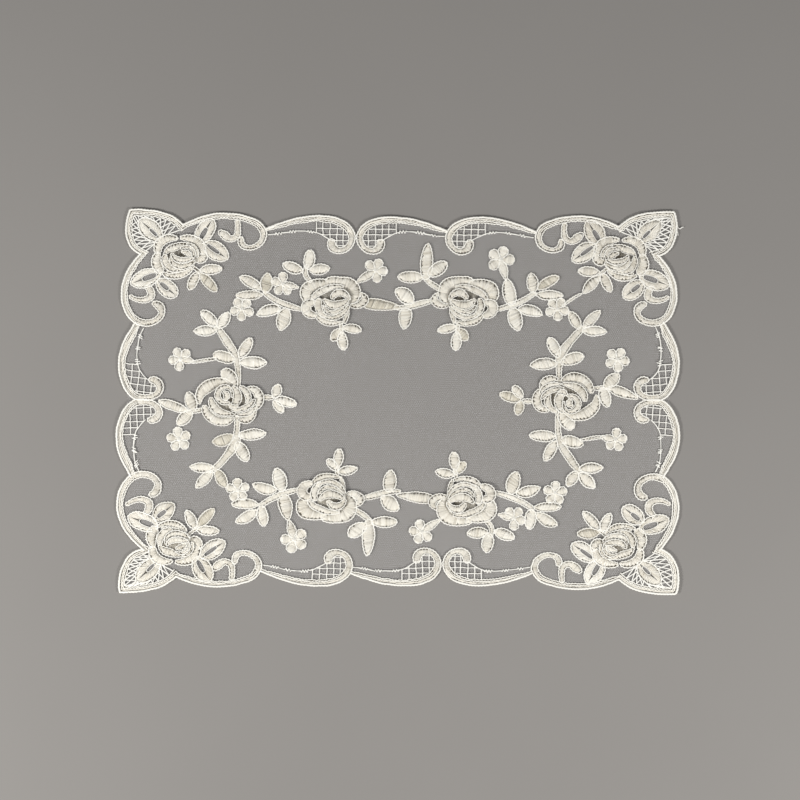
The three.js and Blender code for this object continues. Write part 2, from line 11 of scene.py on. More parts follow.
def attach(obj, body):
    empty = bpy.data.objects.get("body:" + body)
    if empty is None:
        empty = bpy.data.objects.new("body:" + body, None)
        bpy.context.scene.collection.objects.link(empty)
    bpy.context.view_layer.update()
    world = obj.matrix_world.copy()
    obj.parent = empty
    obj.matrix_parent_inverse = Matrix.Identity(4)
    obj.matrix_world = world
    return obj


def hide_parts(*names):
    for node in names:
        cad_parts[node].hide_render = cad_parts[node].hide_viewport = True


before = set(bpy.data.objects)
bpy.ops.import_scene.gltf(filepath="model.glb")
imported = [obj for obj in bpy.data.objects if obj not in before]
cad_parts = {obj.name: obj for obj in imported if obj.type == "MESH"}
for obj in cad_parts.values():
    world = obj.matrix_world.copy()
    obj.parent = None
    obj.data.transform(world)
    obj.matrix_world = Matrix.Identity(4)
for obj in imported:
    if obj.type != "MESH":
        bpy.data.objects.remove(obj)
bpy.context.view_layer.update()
rng = np.random.default_rng(41)

# ---- driving sizes, in mm ---------------------------------------------------
MID = np.array([-1.31, -1.3])
NET_Z = 0.34            # height of the net over the table
WORK_Z = 0.10           # underside of the worked pieces
LAYER = 0.52            # one fold of a rose over the one below it
EDGE_CORD = 0.92        # radius of the outer cord of the edge
BAND_CORD = 0.56        # radius of the second cord
THIN_CORD = 0.50        # radius of the innermost cord
LEAF_CORD = 0.56
ROSE_CORD = 0.58
FOLD_CORD = 0.46
BUD_CORD = 0.46
FLAT = 0.80             # a cord's height over its width
COUCH = 2.55            # between two couching stitches
PITCH = 0.64            # between two satin stitches
CORNER_BAND = 6.2
NOMINAL_BULGE = dict(gridL=10.4, scrollL=10.6, gridS=8.6, scrollS=12.7)

# ---- tables -----------------------------------------------------------------
def table(text):
    lines = [l.split() for l in text.strip().splitlines()]
    head = lines[0]
    def value(w):
        try:
            return float(w)
        except ValueError:
            return w
    return [{k: value(w) for k, w in zip(head, line)} for line in lines[1:]]

def runs(rows, key="part"):
    out = []
    for r in rows:
        if not out or out[-1][0][key] != r[key]:
            out.append([])
        out[-1].append(r)
    return out

# Lobes of the edge, clockwise: a and b are the notches, bulge is how far the lobe
# stands out, and turn says at which notch its band curls in (1: b, -1: a).
LOBES = table("""
name kind ax ay bx by bulge turn
TL petal -207.6 116 -172.4 140.8 0 0
T1 scrollL -172.4 140.8 -105.2 138.4 10.6 1
T2 gridL -105.2 138.4 -34.8 137.2 10.4 1
T3 gridL -34.8 137.2 36.4 136.8 9.7 -1
T4 gridL 36.4 136.8 107.6 136 10.3 -1
T5 scrollL 107.6 136 174.8 139.2 10.2 -1
TR petal 174.8 139.2 207.6 114.4 0 0
R1 scrollS 207.6 114.4 212.4 60.8 11.8 1
R2 gridS 212.4 60.8 217.2 0 9.6 1
R3 gridS 217.2 0 212.4 -60 10 -1
R4 scrollS 212.4 -60 209.2 -118.4 12.8 -1
BR petal 209.2 -118.4 174.8 -144 0 0
B5 scrollL 174.8 -144 104.4 -140 9.6 1
B4 gridL 104.4 -140 34 -138.4 9.6 1
B3 gridL 34 -138.4 -37.2 -140 9.6 -1
B2 gridL -37.2 -140 -109.2 -138.4 9.6 -1
B1 scrollL -109.2 -138.4 -178 -141.6 9.6 -1
BL petal -178 -141.6 -206 -118.4 0 0
L4 scrollS -206 -118.4 -216.4 -59.2 15.2 1
L3 gridS -216.4 -59.2 -218.8 0.8 9.6 1
L2 gridS -218.8 0.8 -212.4 60.8 9.6 -1
L1 scrollS -212.4 60.8 -207.6 116 12.6 -1
""")
# Centre line of a band: u from the plain notch to the curled one, v mm inwards.
BAND = table("""
kind u v half
gridL 0.000 2.1 1.9
gridL 0.140 -1.3 2.5
gridL 0.360 -5.6 3
gridL 0.600 -7.3 3.2
gridL 0.780 -5.4 3.4
gridL 0.905 -0.2 3.4
gridL 0.958 6.8 3
gridL 0.940 12.6 2.9
gridL 0.878 17 2.7
gridL 0.800 17.9 3
gridL 0.738 15.4 3.8
gridL 0.722 10.9 3.4
scrollL 0.000 2.1 2.4
scrollL 0.140 -2.1 2.9
scrollL 0.340 -6.4 3
scrollL 0.540 -7.5 3
scrollL 0.740 -5.6 3.1
scrollL 0.900 -0.6 3.2
scrollL 0.955 6 3
scrollL 0.925 12.4 2.7
scrollL 0.848 16.2 2.5
scrollL 0.764 17 2.4
scrollL 0.700 14.9 3
scrollL 0.683 10.1 2.7
gridS 0.000 2.8 3.0
gridS 0.100 0.7 3.7
gridS 0.300 -3.7 3.9
gridS 0.470 -5.4 3.4
gridS 0.620 -4.6 3.5
gridS 0.750 -2.2 3.5
gridS 0.870 2.1 3.5
gridS 0.945 7.7 3.2
gridS 0.955 14.4 2.8
gridS 0.930 20.8 2.8
gridS 0.862 25.6 3
gridS 0.775 25.9 3.4
gridS 0.715 21.9 3.5
gridS 0.712 17.9 2.4
scrollS 0.000 2.4 2.9
scrollS 0.160 -3.6 3.1
scrollS 0.360 -8.4 3.2
scrollS 0.560 -9.6 3.2
scrollS 0.760 -6.8 3.3
scrollS 0.900 -1.2 3.4
scrollS 0.965 5.6 3.2
scrollS 0.960 12.8 3
scrollS 0.900 18.8 2.9
scrollS 0.800 21.6 3
scrollS 0.705 18.8 3.7
scrollS 0.680 14.8 2.6
""")
# The smaller scroll in a scroll lobe.
SCROLL = table("""
kind u v half
scrollL 0.630 -4.4 2.4
scrollL 0.645 2.6 2.6
scrollL 0.630 8.4 2.9
scrollL 0.560 10.6 2.9
scrollL 0.490 8 3.8
scrollL 0.440 5.3 2.4
scrollS 0.600 -5.2 1.9
scrollS 0.645 1.2 2.4
scrollS 0.635 7.6 2.9
scrollS 0.580 11.6 3.4
scrollS 0.485 10.4 3.2
scrollS 0.450 7.7 2.4
""")
TIPS = table("""
name x y blunt
TL -215.6 153.2 0
TR 220.4 151.2 1
BR 221.6 -155.8 0
BL -224.4 -154.4 0
""")
PETAL_SIDE = table("""
side u v
short 0 0
short .22 5.0
short .5 7.8
short .78 6.6
short 1 0
long 0 0
long .25 3.0
long .5 4.7
long .75 4.4
long 1 0
""")
# The thin cord with picots that closes a grid lobe, and where its picots stand.
PICOT = table("""
kind u v
gridL 0.00 6.2
gridL 0.13 5.0
gridL 0.25 3.4
gridL 0.38 2.5
gridL 0.50 2.9
gridL 0.57 4.2
gridL 0.64 6.7
gridL 0.705 9.4
gridS 0.03 8.2
gridS 0.10 6.6
gridS 0.20 5.2
gridS 0.33 4.9
gridS 0.48 6.0
gridS 0.57 7.4
gridS 0.64 10.6
gridS 0.715 15.6
""")
KNOTS = table("""
kind u
gridL 0.13
gridL 0.28
gridL 0.475
gridS 0.13
gridS 0.31
gridS 0.490
""")
# The square lattice beyond the closing thread, as lines of constant u or v.
LATTICE = table("""
kind way at
gridL u 0.547
gridL u 0.628
gridL u 0.706
gridL u 0.784
gridL u 0.858
gridL v 0.2
gridL v 4.9
gridL v 9.6
gridL v 14.0
gridS u 0.527
gridS u 0.615
gridS u 0.701
gridS u 0.790
gridS u 0.876
gridS v 2.6
gridS v 8.2
gridS v 13.8
gridS v 19.2
""")
# The roses and sprays, each about the middle of its own rose.
ROSE_A = table("""
part x y half lift
fanL 3.2 16 3.2 0
fanL -6.4 15.6 4.8 0
fanL -16 11.2 6 0
fanL -18 3.2 4.8 0
fanL -15.2 -2 2 0
fanR 4 13.6 3.6 0
fanR 12 13.2 4.8 0
fanR 19.2 9.2 6 0
fanR 19.6 2.8 4.8 0
fanR 15.2 0.8 2.4 0
side -23.2 6 1.6 1
side -26.2 0.8 3.4 1
side -21.6 -3.2 3.2 1
side -15.6 -3.6 1.8 1
hem -8.8 -16.8 1.4 1
hem 0 -17.8 2.7 1
hem 7.6 -15.6 2.9 1
hem 12.4 -11.6 1.6 1
tip -12.8 -7.2 1.4 1
tip -11.6 -12 2.1 1
tip -10 -17.2 1.4 1
flank 15.6 -1.2 3.2 2
flank 20.2 -3.4 4.2 2
flank 19.8 -8.6 4.2 2
flank 14.4 -11.6 3.0 2
shell 10.4 0.4 2.8 3
shell 10.8 -5.6 3.2 3
shell 6.8 -11.6 2.4 3
low -13.2 -4.8 1.6 3
low -8 -10.8 2.4 3
low 0 -13.6 2.2 3
low 8 -10.4 2 3
mid -12.4 -2 1.6 4
mid -6.4 -7.6 2.1 4
mid 0.8 -9.2 1.9 4
mid 6.8 -4 1.3 4
cup -12 0 2 5
cup -6.4 -2.8 3.4 5
cup 0 -3.2 3.6 5
cup 6 0.8 1.8 5
arch -13.4 1.8 2.0 4
arch -10.8 5.2 2.8 4
arch -5.2 6.6 3.3 4
arch -0.8 3.0 2.4 4
brow -8.8 11.2 1.4 2
brow -2.4 11.4 2.4 2
brow 5.5 9.0 3.0 2
brow 11.8 5.6 2.8 2
brow 15.5 1.6 1.6 2
""")
STEM_A = table("""
part x y half lift
branch 23.2 -6.8 2 0
branch 34.4 -4 2.8 0
branch 42.4 -0.8 2.8 0
branch 53.6 6 2.4 0
spine -7.2 -17.6 1.6 0
spine -7.6 -22.4 1.9 0
spine -8 -24.8 1.8 0
""")
LEAF_A = table("""
part bx by tx ty wide peak bow s0 s1 slit
a1 36.8 -5.6 41.6 -24 11.2 0.42 0.8 0.62 0.62 0
a2 40.8 -6.4 60.8 -11.6 9.2 0.45 -1.2 0.72 0.74 0
a4 53.6 5.6 51.2 22.8 9.6 0.50 0 0.72 0.58 0
a5 56 8.8 74 19.2 8.8 0.50 -0.8 0.82 0.52 0
a6 54.4 5.2 77.2 4.4 8.4 0.50 0 0.84 0.54 0
a7 -8.6 -21.4 0.8 -31.2 7.8 0.55 0 0.70 0.58 0
a8 -8 -23.2 -9.6 -39.6 8.4 0.55 0 0.72 0.52 0
a9 -7.6 -20.8 -24 -24 8 0.50 0 0.74 0.66 0
""")
FLOWER_A = table("""
part x y r turn px py
fa 72 -6.4 9.8 58 81.6 -9.2
""")
STEM_A_END = table("""
part x y half lift
stem -19.6 8.8 2.2 0
stem -28.8 14 2.6 0
stem -34.4 19.2 2 0
join -56.8 -5.2 2.1 0
join -49.6 -5.2 2.6 0
join -41.6 -3.2 3 0
join -35.2 -1.6 2.9 0
join -28.4 0 2.1 0
""")
LEAF_A_END = table("""
part bx by tx ty wide peak bow s0 s1 slit
u0 35.2 -3.2 31.6 18.4 10.8 0.35 0 0.72 0.66 0
u1 -32.8 16.8 -31 46.4 10 0.40 0 0.62 0.50 0
u2 -31.2 20 -16.4 30.8 10.4 0.50 0 0.70 0.56 0
u3 -34.4 18.8 -55.6 19.2 9.6 0.50 0 0.62 0.55 0
u4 -43.2 -2 -57.2 8.8 11.2 0.50 0.8 0.62 0.55 0
u5 -48 -5.6 -50.4 -23 10.8 0.40 0 0.56 0.76 0
""")
FLOWER_A_END = table("""
part x y r turn px py
ftr 27 33 11.2 72 31.2 17.6
""")
STEM_A_SIDE = table("""
part x y half lift
stem 17.2 16 2.2 0
stem 21.2 21.6 2.4 0
stem 20 28 2 0
""")
LEAF_A_SIDE = table("""
part bx by tx ty wide peak bow s0 s1 slit
t1 19.6 24.8 17.2 41.2 9.6 0.50 0 0.72 0.56 0
t2 18.4 24 1.6 26.4 9.2 0.50 0 0.76 0.62 0
t3 22.4 24 39.6 29.6 9.2 0.50 0 0.78 0.60 0
join -23.4 -1.4 -56 -5.2 9.2 0.35 0 0.80 0.70 0
""")
FLOWER_A_SIDE = table("""
part x y r turn px py
ftl -34.8 24.5 10.1 41 -19.4 14.6
ftl2 39.2 13.6 9.8 18 26.8 10.8
""")
ROSE_B = table("""
part x y half lift
fanU -22.8 -2.4 2.2 0
fanU -21.4 4.8 4.4 0
fanU -15.8 10.2 5.3 0
fanU -8.8 13.2 4.2 0
fanU -1.6 13.4 3.2 0
fanU 3.2 9.8 2.4 0
bud 6.3 10.4 2.2 0.4
bud 3.2 16.0 4.8 0.4
bud -1.8 20.4 5.3 0.4
fanL -18.4 -6.8 2.8 1
fanL -15.6 -12.4 4 1
fanL -8.8 -17.2 4 1
fanL -0.8 -17.6 3.7 1
fanL 4.8 -15.2 1.4 1
fanR 8.8 -16.4 1.4 1
fanR 14.4 -16.4 3.5 1
fanR 19.2 -13.6 3.2 1
fanR 21.2 -9.2 2 1
far 16.8 8.4 2.4 1
far 22.4 6.4 3.6 1
far 25.2 0.8 4 1
far 23.2 -5.6 3.2 1
far 20 -8.8 1.6 1
out 10.4 9.2 2.2 2
out 14.8 6 2.9 2
out 16.4 0.4 2.7 2
out 15.2 -3.2 1.6 2
mid 4.8 9.2 2.2 3
mid 7.4 4.4 3.6 3
mid 7.4 -1.2 3.7 3
mid 4.0 -5.4 2.8 3
brim 6.4 -12 1.3 2
brim 13.6 -12.2 2.1 2
brim 19.2 -9.6 2.1 2
brim 22.4 -4.8 1.3 2
lip 4 -8.8 1.4 3
lip 11.2 -8 2.4 3
lip 17.6 -4.8 2.4 3
lip 21.2 -0.8 1.3 3
crest -13.2 0 2.2 3
crest -11.2 -5.6 3.6 3
crest -6.4 -10 3.4 3
crest 0 -11.6 2.2 3
crest 4.8 -12.4 1.2 3
swirl 3.6 1.6 1.1 4
swirl 3.4 6.0 1.5 4
swirl 0 9.6 2.0 4
swirl -6.0 8 2.7 4
swirl -8 2.4 2.7 4
swirl -4.8 -2 2.4 4
swirl 0.6 -3.0 1.8 4
eye -2.4 5.0 1.9 5
eye -0.6 2.8 3.1 5
eye -1.6 0.2 2.2 5
pip 2 -4.4 1.6 5
pip 4.8 -6.4 2.4 5
pip 8 -4.8 1.3 5
""")
STEM_B = table("""
part x y half lift
up 7.8 10.2 2.2 0
up 7.2 29.6 2.8 0
up 4.8 37.6 3.2 0
up 0 44.8 3.6 0
up -4.8 52 3.2 0
up -8.8 56.8 2.4 0
thin -9.6 32.4 1.2 0
thin -20 30.8 1.8 0
thin -28.8 29.6 1.4 0
bead 27.0 0.8 1.0 0
bead 31.4 1.4 2.5 0
bead 36.4 0.6 1.2 0
down 7.2 -15.2 2.6 0
down 7.2 -24.8 2.6 0
down 6.4 -33.6 4 0
down -2.4 -47.2 3.2 0
down -12 -56.8 2.8 0
left -18.6 -8.6 1.8 0
left -31.2 -10 2.4 0
""")
LEAF_B = table("""
part bx by tx ty wide peak bow s0 s1 slit
l1 8.8 32.8 18.8 49.2 8.8 0.50 0 0.72 0.60 0
l2 8.8 30 31.6 28.8 10 0.50 0 0.74 0.74 0
l3 6.4 31.2 -12 36 10.4 0.50 0 0.76 0.56 0
l4 -8.8 58.4 -21.6 70.8 9.2 0.50 0 0.74 0.62 0
l5 -8 56.8 0.8 69.6 8.8 0.50 0 0.74 0.58 0
l6 -8 55.2 -28 54.4 8.4 0.50 0 0.72 0.66 0
l7 36.8 0.8 40.8 12.4 8 0.50 0 0.72 0.60 0
l8 36.8 0 55.2 -4.8 8.8 0.50 0 0.82 0.60 0
l9 36.4 -0.8 44.4 -10.8 8 0.55 0 0.72 0.52 0
l10 8 -28.8 31.2 -27.2 9.6 0.50 0 0.60 0.76 0
l11 5.6 -28.8 -13.2 -34.4 9.6 0.50 -1.2 0.56 0.80 0
l12 7.2 -33.6 16 -50 9.6 0.50 0 0.80 0.60 0
l13 -10.4 -55.2 -31.2 -54 8.4 0.50 0 0.68 0.66 0
l14 -12 -56.8 -26 -71.2 8.4 0.50 0 0.76 0.60 0
l15 -9.6 -56 -1.2 -70.4 8.8 0.50 0 0.72 0.56 0
l16 -26.8 -10.4 -31.6 6 9.6 0.50 0 0.62 0.54 0
l17 -28.4 -9.6 -40.4 -20.8 9.6 0.50 0 0.72 0.54 0
l18 -30.4 -10 -56.4 -0.8 8 0.50 0 0.84 0.62 0
""")
FLOWER_B = table("""
part x y r turn px py
fl1 -37.8 32.2 9.8 45 -26.6 30
fl2 -39.2 -32 10.1 26 -39.0 -22
""")
ROSE_C = table("""
part x y half lift
fanT -16 3.4 3.4 0
fanT -14.4 9.4 4.2 0
fanT -8.6 13 3.8 0
fanT -1.4 13.2 2.2 0
fanS -16 0 3.2 0
fanS -17.2 -5.6 4.4 0
fanS -14.4 -12 4 0
hip 3.4 13.8 2.3 0
hip 10.4 13.0 3.8 0
hip 16.8 9.4 4.4 0
hip 19.8 3.6 3.4 0
end 13.6 -3.4 2.4 0
end 17.4 -3.4 3.9 0
end 20.6 -1.4 3.9 0
end 21.0 1.8 2.4 0
hem -11.2 -14.8 1.6 0
hem -4.8 -16.8 2.7 0
hem 3.2 -15.8 3.2 0
hem 10.8 -11.4 1.8 0
brim -8 -13.6 1.6 1
brim 0 -12 2.4 1
brim 8 -8.8 3.0 1
brim 13.2 -5.4 1.6 1
back -10.4 0.8 1.3 1
back -7.2 4.2 3.0 1
back -1.4 6.4 3.3 1
back 4.4 8.4 2.0 1
back 9.0 9.4 0.9 1
side -10.0 -0.8 2.2 2
side -9.4 -5.8 3.2 2
side -5.8 -10.4 3.0 2
side -0.8 -12.4 1.4 2
fold 7.6 9.0 1.0 2
fold 12.6 7.2 1.7 2
fold 15.4 3.0 1.9 2
fold 15.8 -1.8 1.3 2
cup -4.8 -1.4 1.4 3
cup -3.8 -6.2 2.4 3
cup 1.6 -9.2 2.6 3
cup 8.4 -8.2 2.4 3
cup 13.4 -5.0 1.3 3
hood 2.6 5.2 1.0 3
hood 7.6 6.4 1.8 3
hood 11.6 4.4 1.9 3
hood 13.0 0.4 1.6 3
hood 12.2 -2.6 1.0 3
core 3.2 2.6 1.2 4
core 6.4 2.0 2.6 4
core 9.4 0.2 2.5 4
core 9.6 -2.2 1.3 4
bud -4.2 0.6 1.3 5
bud -2.0 -2.4 2.4 5
bud 3.4 -4.2 2.8 5
bud 9.2 -3.6 2.3 5
bud 13.0 -2.4 1.0 5
""")
STEM_C = table("""
part x y half lift
stem 10 -8 1.8 0
stem 14.4 -11.2 1.6 0
stem 17.2 -13.6 1.9 0
""")
LEAF_C = table("""
part bx by tx ty wide peak bow s0 s1 slit
petal_eye -12.8 11.2 -30.8 28.4 14.4 0.50 0 0.22 0.56 2.5
eye_l -13.6 -14.4 -37.6 -23.2 14.4 0.50 0 0.14 0.62 4.3
eye_b -16.8 -20 -0.8 -32.8 13.8 0.50 0 0.16 0.60 3.4
eye_t 16.4 9.6 28 28.8 15.0 0.50 0 0.12 0.62 3.8
eye_r 21 10.2 40 -3.2 14.2 0.50 0 0.12 0.66 3.0
sprig_a 17 -12.4 35.6 -11.2 8.8 0.50 0 0.84 0.56 0
sprig_b 17.6 -14.4 31.2 -29.2 8.8 0.50 0 0.80 0.58 0
sprig_c 16.2 -12.6 8.8 -28 8.4 0.50 0 0.72 0.56 0
""")
HEART_A = table("""
part x y half lift
heart -8 2 8 0
heart 0 -1.5 12.5 0
heart 8 -3 9 0
""")
HEART_B = table("""
part x y half lift
heart -9 0 9 0
heart 2 -2 13 0
heart 16.5 -4 9.5 0
""")
HEART_C = table("""
part x y half lift
heart -8 -2 8 0
heart 2 -2 11.5 0
heart 11 -1 8 0
""")
STEM_LINK = table("""
part x y half lift
link 76.5 -4.2 1.3 0
link 84 1.6 1.4 0
link 91.4 5.6 1.2 0
""")
MOTIFS = {
    "rose_a": dict(ground=HEART_A, rose=ROSE_A, stems=STEM_A, leaves=LEAF_A, flowers=FLOWER_A),
    "end_a": dict(stems=STEM_A_END, leaves=LEAF_A_END, flowers=FLOWER_A_END),
    "side_a": dict(stems=STEM_A_SIDE, leaves=LEAF_A_SIDE, flowers=FLOWER_A_SIDE),
    "link": dict(stems=STEM_LINK),
    "rose_b": dict(ground=HEART_B, rose=ROSE_B, stems=STEM_B, leaves=LEAF_B, flowers=FLOWER_B),
    "rose_c": dict(ground=HEART_C, rose=ROSE_C),
    "leaf_c": dict(stems=STEM_C, leaves=LEAF_C),
}
PLACES = table("""
node motif x y sx sy
corner_spray_top_left rose_c -177.2 116 1 1
corner_spray_top_left leaf_c -177.2 116 1 1
corner_spray_top_right rose_c 178 114.4 -1 1
corner_spray_top_right leaf_c 178 114.4 -1 1
corner_spray_bottom_right rose_c 176.4 -117.6 -1 -1
corner_spray_bottom_right leaf_c 177.8 -118.2 -1 -1
corner_spray_bottom_left rose_c -181.4 -115.6 1 -1
corner_spray_bottom_left leaf_c -179.4 -116 1 -1
rose_spray_left rose_b -137.2 0.8 1 1
rose_spray_right rose_b 134.8 0.4 -1 -1
rose_spray_top_right rose_a 54 79.2 1 1
rose_spray_top_right end_a 54 79.2 1 1
rose_spray_top_right link 54 79.2 1 1
rose_spray_top_left rose_a -54 79.2 -1 1
rose_spray_top_left side_a -54 79.2 -1 1
rose_spray_bottom_left rose_a -57.2 -78.4 -1 -1
rose_spray_bottom_left end_a -57.2 -78.4 -1 -1
rose_spray_bottom_right rose_a 52.4 -80.8 1 -1
rose_spray_bottom_right side_a 52.4 -80.8 1 -1
""")

# ---- plane geometry ---------------------------------------------------------
def chord(P, closed=False):
    d = np.hypot(*(np.roll(P, -1, 0) - P)[:, :2].T) if closed else np.hypot(*np.diff(P[:, :2], axis=0).T)
    return np.concatenate([[0], np.cumsum(np.maximum(d, 1e-6))])

def smooth(P, n):
    """n + 1 even samples of a smooth line through the rows of P, by chord length."""
    P = np.asarray(P, float)
    s = chord(P)
    rate = np.diff(P, axis=0) / np.diff(s)[:, None]
    last = len(P) - 1
    if last == 1:
        m = np.repeat(rate, 2, 0)
    else:
        m = np.empty_like(P)
        m[0] = 1.5 * rate[0] - 0.5 * rate[1]
        m[-1] = 1.5 * rate[-1] - 0.5 * rate[-2]
        wa, wb = np.diff(s)[1:, None], np.diff(s)[:-1, None]
        m[1:-1] = (rate[:-1] * wa + rate[1:] * wb) / (wa + wb)
    t = np.linspace(0, s[-1], n + 1)
    i = np.clip(np.searchsorted(s, t, side="right") - 1, 0, last - 1)
    h = np.diff(s)[i][:, None]
    u = (t - s[i])[:, None] / h
    return ((2*u**3 - 3*u**2 + 1) * P[i] + (u**3 - 2*u**2 + u) * h * m[i]
            + (3*u**2 - 2*u**3) * P[i + 1] + (u**3 - u**2) * h * m[i + 1])

def normals(P, closed=False):
    """Unit left normals along a line."""
    if closed:
        t = np.roll(P, -1, 0) - np.roll(P, 1, 0)
    else:
        t = np.gradient(P, axis=0)
    t = t[:, :2] / np.maximum(np.hypot(t[:, 0], t[:, 1]), 1e-9)[:, None]
    return np.stack([-t[:, 1], t[:, 0]], 1)

def resample(P, step, closed=False, multiple=1):
    """Even steps along a line of any number of columns."""
    Q = np.vstack([P, P[:1]]) if closed else P
    s = chord(Q)
    n = max(2, int(round(s[-1] / step / multiple)) * multiple) if multiple > 1 else max(2, int(round(s[-1] / step)))
    n = max(n, 3 * multiple if closed else 2)
    t = np.linspace(0, s[-1], n + 1)
    out = np.stack([np.interp(t, s, Q[:, k]) for k in range(Q.shape[1])], 1)
    return out[:-1] if closed else out

def relax(P, times, closed=True):
    for _ in range(times):
        if closed:
            P = 0.25 * np.roll(P, 1, 0) + 0.5 * P + 0.25 * np.roll(P, -1, 0)
        else:
            P = np.vstack([P[:1], 0.25 * P[:-2] + 0.5 * P[1:-1] + 0.25 * P[2:], P[-1:]])
    return P

def wander(n, size, every=5, closed=False):
    """Slow random drift, n values."""
    k = max(4, n // every)
    base = rng.normal(0, size, k)
    x = np.linspace(0, k if closed else k - 1, n, endpoint=not closed)
    if closed:
        return np.interp(x, np.arange(k + 1), np.append(base, base[0]))
    return np.interp(x, np.arange(k), base)

def holes(s, deep, share=0.5, slim=0.8):
    """Openings beside a cord: between two couching stitches the ground shows here and there."""
    q = s / COUCH + rng.random()
    k = np.floor(q).astype(int)
    k -= k.min()
    m = int(k.max()) + 1
    lean = np.interp(np.arange(m), np.linspace(0, m, 4 + m // 5), rng.normal(0, 0.25, 4 + m // 5))
    a = np.where(rng.random(m) + lean < share, rng.uniform(0.4, 1.0, m), 0.0)
    return deep * a[k] * np.sin(np.pi * (q - np.floor(q))) ** slim

class Ribbon:
    """A line with half-widths: its samples, left normals and length."""
    def __init__(self, P):
        self.P = np.asarray(P, float)
        self.C, self.h = self.P[:, :2], self.P[:, 2]
        self.N = normals(self.P)
        self.s = chord(self.P)
        self.length = self.s[-1]
    def off(self, side, inset):
        """The left (1) or right (-1) edge, moved in by inset."""
        return self.C + self.N * (side * np.maximum(self.h - inset, 0.0))[:, None]
    def part(self, s0, s1):
        keep = (self.s >= s0 - 1e-6) & (self.s <= s1 + 1e-6)
        r = Ribbon(self.P[keep])
        r.N = self.N[keep]
        return r

def ribbon(rows, place=None, step=0.6, ends=False):
    P = np.array([[r["x"], r["y"], r["half"]] for r in rows])
    if place is not None:
        P = put(P, place)
    P = smooth(P, max(10, int(chord(P)[-1] / step)))
    return Ribbon(rounded(P) if ends else P)

def rounded(P):
    """The rows of a ribbon with its two round ends added as narrowing sections."""
    def end(e, d):
        a = np.linspace(0, math.pi / 2, 7)[1:]
        d = d / np.hypot(*d) * 0.72 * e[2]
        return np.column_stack([e[0] + d[0] * np.sin(a), e[1] + d[1] * np.sin(a), np.maximum(e[2] * np.cos(a), 0.05)])
    return np.vstack([end(P[0], P[0, :2] - P[1, :2])[::-1], P, end(P[-1], P[-1, :2] - P[-2, :2])])

def uneven(loop, size, every=13):
    """A closed line as a hand lays it."""
    out = np.array(loop, float)
    out[:, :2] += normals(out, True) * wander(len(out), size, every, True)[:, None]
    return out

def put(P, place):
    P = np.array(P, float)
    P[:, 0] = place["x"] + place["sx"] * P[:, 0]
    P[:, 1] = place["y"] + place["sy"] * P[:, 1]
    return P

def leaf_line(r, n=48):
    a, b = np.array([r["bx"], r["by"]]), np.array([r["tx"], r["ty"]])
    d = b - a
    l = np.hypot(*d)
    t = 0.5 - 0.5 * np.cos(np.linspace(0, math.pi, n))
    q = t ** (math.log(0.5) / math.log(r["peak"]))
    # s0 and s1 are the ends of the slit; in a leaf without one they give its base and
    # its tip, from 0.5 for round to 0.8 for pointed
    turn = 2.3 * r["bx"] + 1.7 * r["ty"]
    base, tip = (0.56, 0.52) if r["slit"] else (r["s0"], r["s1"])
    h = r["wide"] * 0.53 * np.clip(4 * q * (1 - q), 0, 1) ** np.interp(t, [0, 0.5, 1], [base, 0.5, tip])
    side = np.array([d[1], -d[0]]) / l
    bow = r["bow"] + 0.35 * math.sin(3.1 * turn)
    P = a + d * t[:, None] + side * (bow * 4 * t * (1 - t))[:, None]
    return np.column_stack([P, np.maximum(h, 0.05)])

def loop_of(rb, inset, cap0=True, cap1=True):
    """Closed line just inside a ribbon's outline."""
    h = np.maximum(rb.h - inset, 0.0)
    keep = np.nonzero(h > 1e-3)[0]
    a, b = keep[0], keep[-1] + 1
    C, N, h = rb.C[a:b], rb.N[a:b], h[a:b]
    left, right = C + N * h[:, None], C - N * h[:, None]
    parts = [left]
    def cap(i, sign):
        T = np.array([N[i][1], -N[i][0]]) * sign
        A = N[i] * sign
        ang = np.linspace(0, math.pi, 9)[1:-1]
        return C[i] + h[i] * (np.cos(ang)[:, None] * A + 0.8 * np.sin(ang)[:, None] * T)
    if cap1 and h[-1] > 0.3:
        parts.append(cap(-1, 1.0))
    parts.append(right[::-1])
    if cap0 and h[0] > 0.3:
        parts.append(cap(0, -1.0))
    return np.vstack(parts)

# ---- mesh making ------------------------------------------------------------
# PAD_SHADE is the padding, whose tops are painted shade
CORD, SATIN, PAD_SHADE, FINE = range(4)

def lay(x, y):
    """How far the mat lies off the table here: it is nowhere quite flat."""
    return (0.30 + 0.17 * np.sin(0.031 * x + 0.7) * np.cos(0.043 * y - 0.4)
            + 0.12 * np.sin(0.083 * x + 0.051 * y + 2.0) + 0.08 * np.cos(0.117 * y - 0.06 * x)) * 0.9 + 0.05

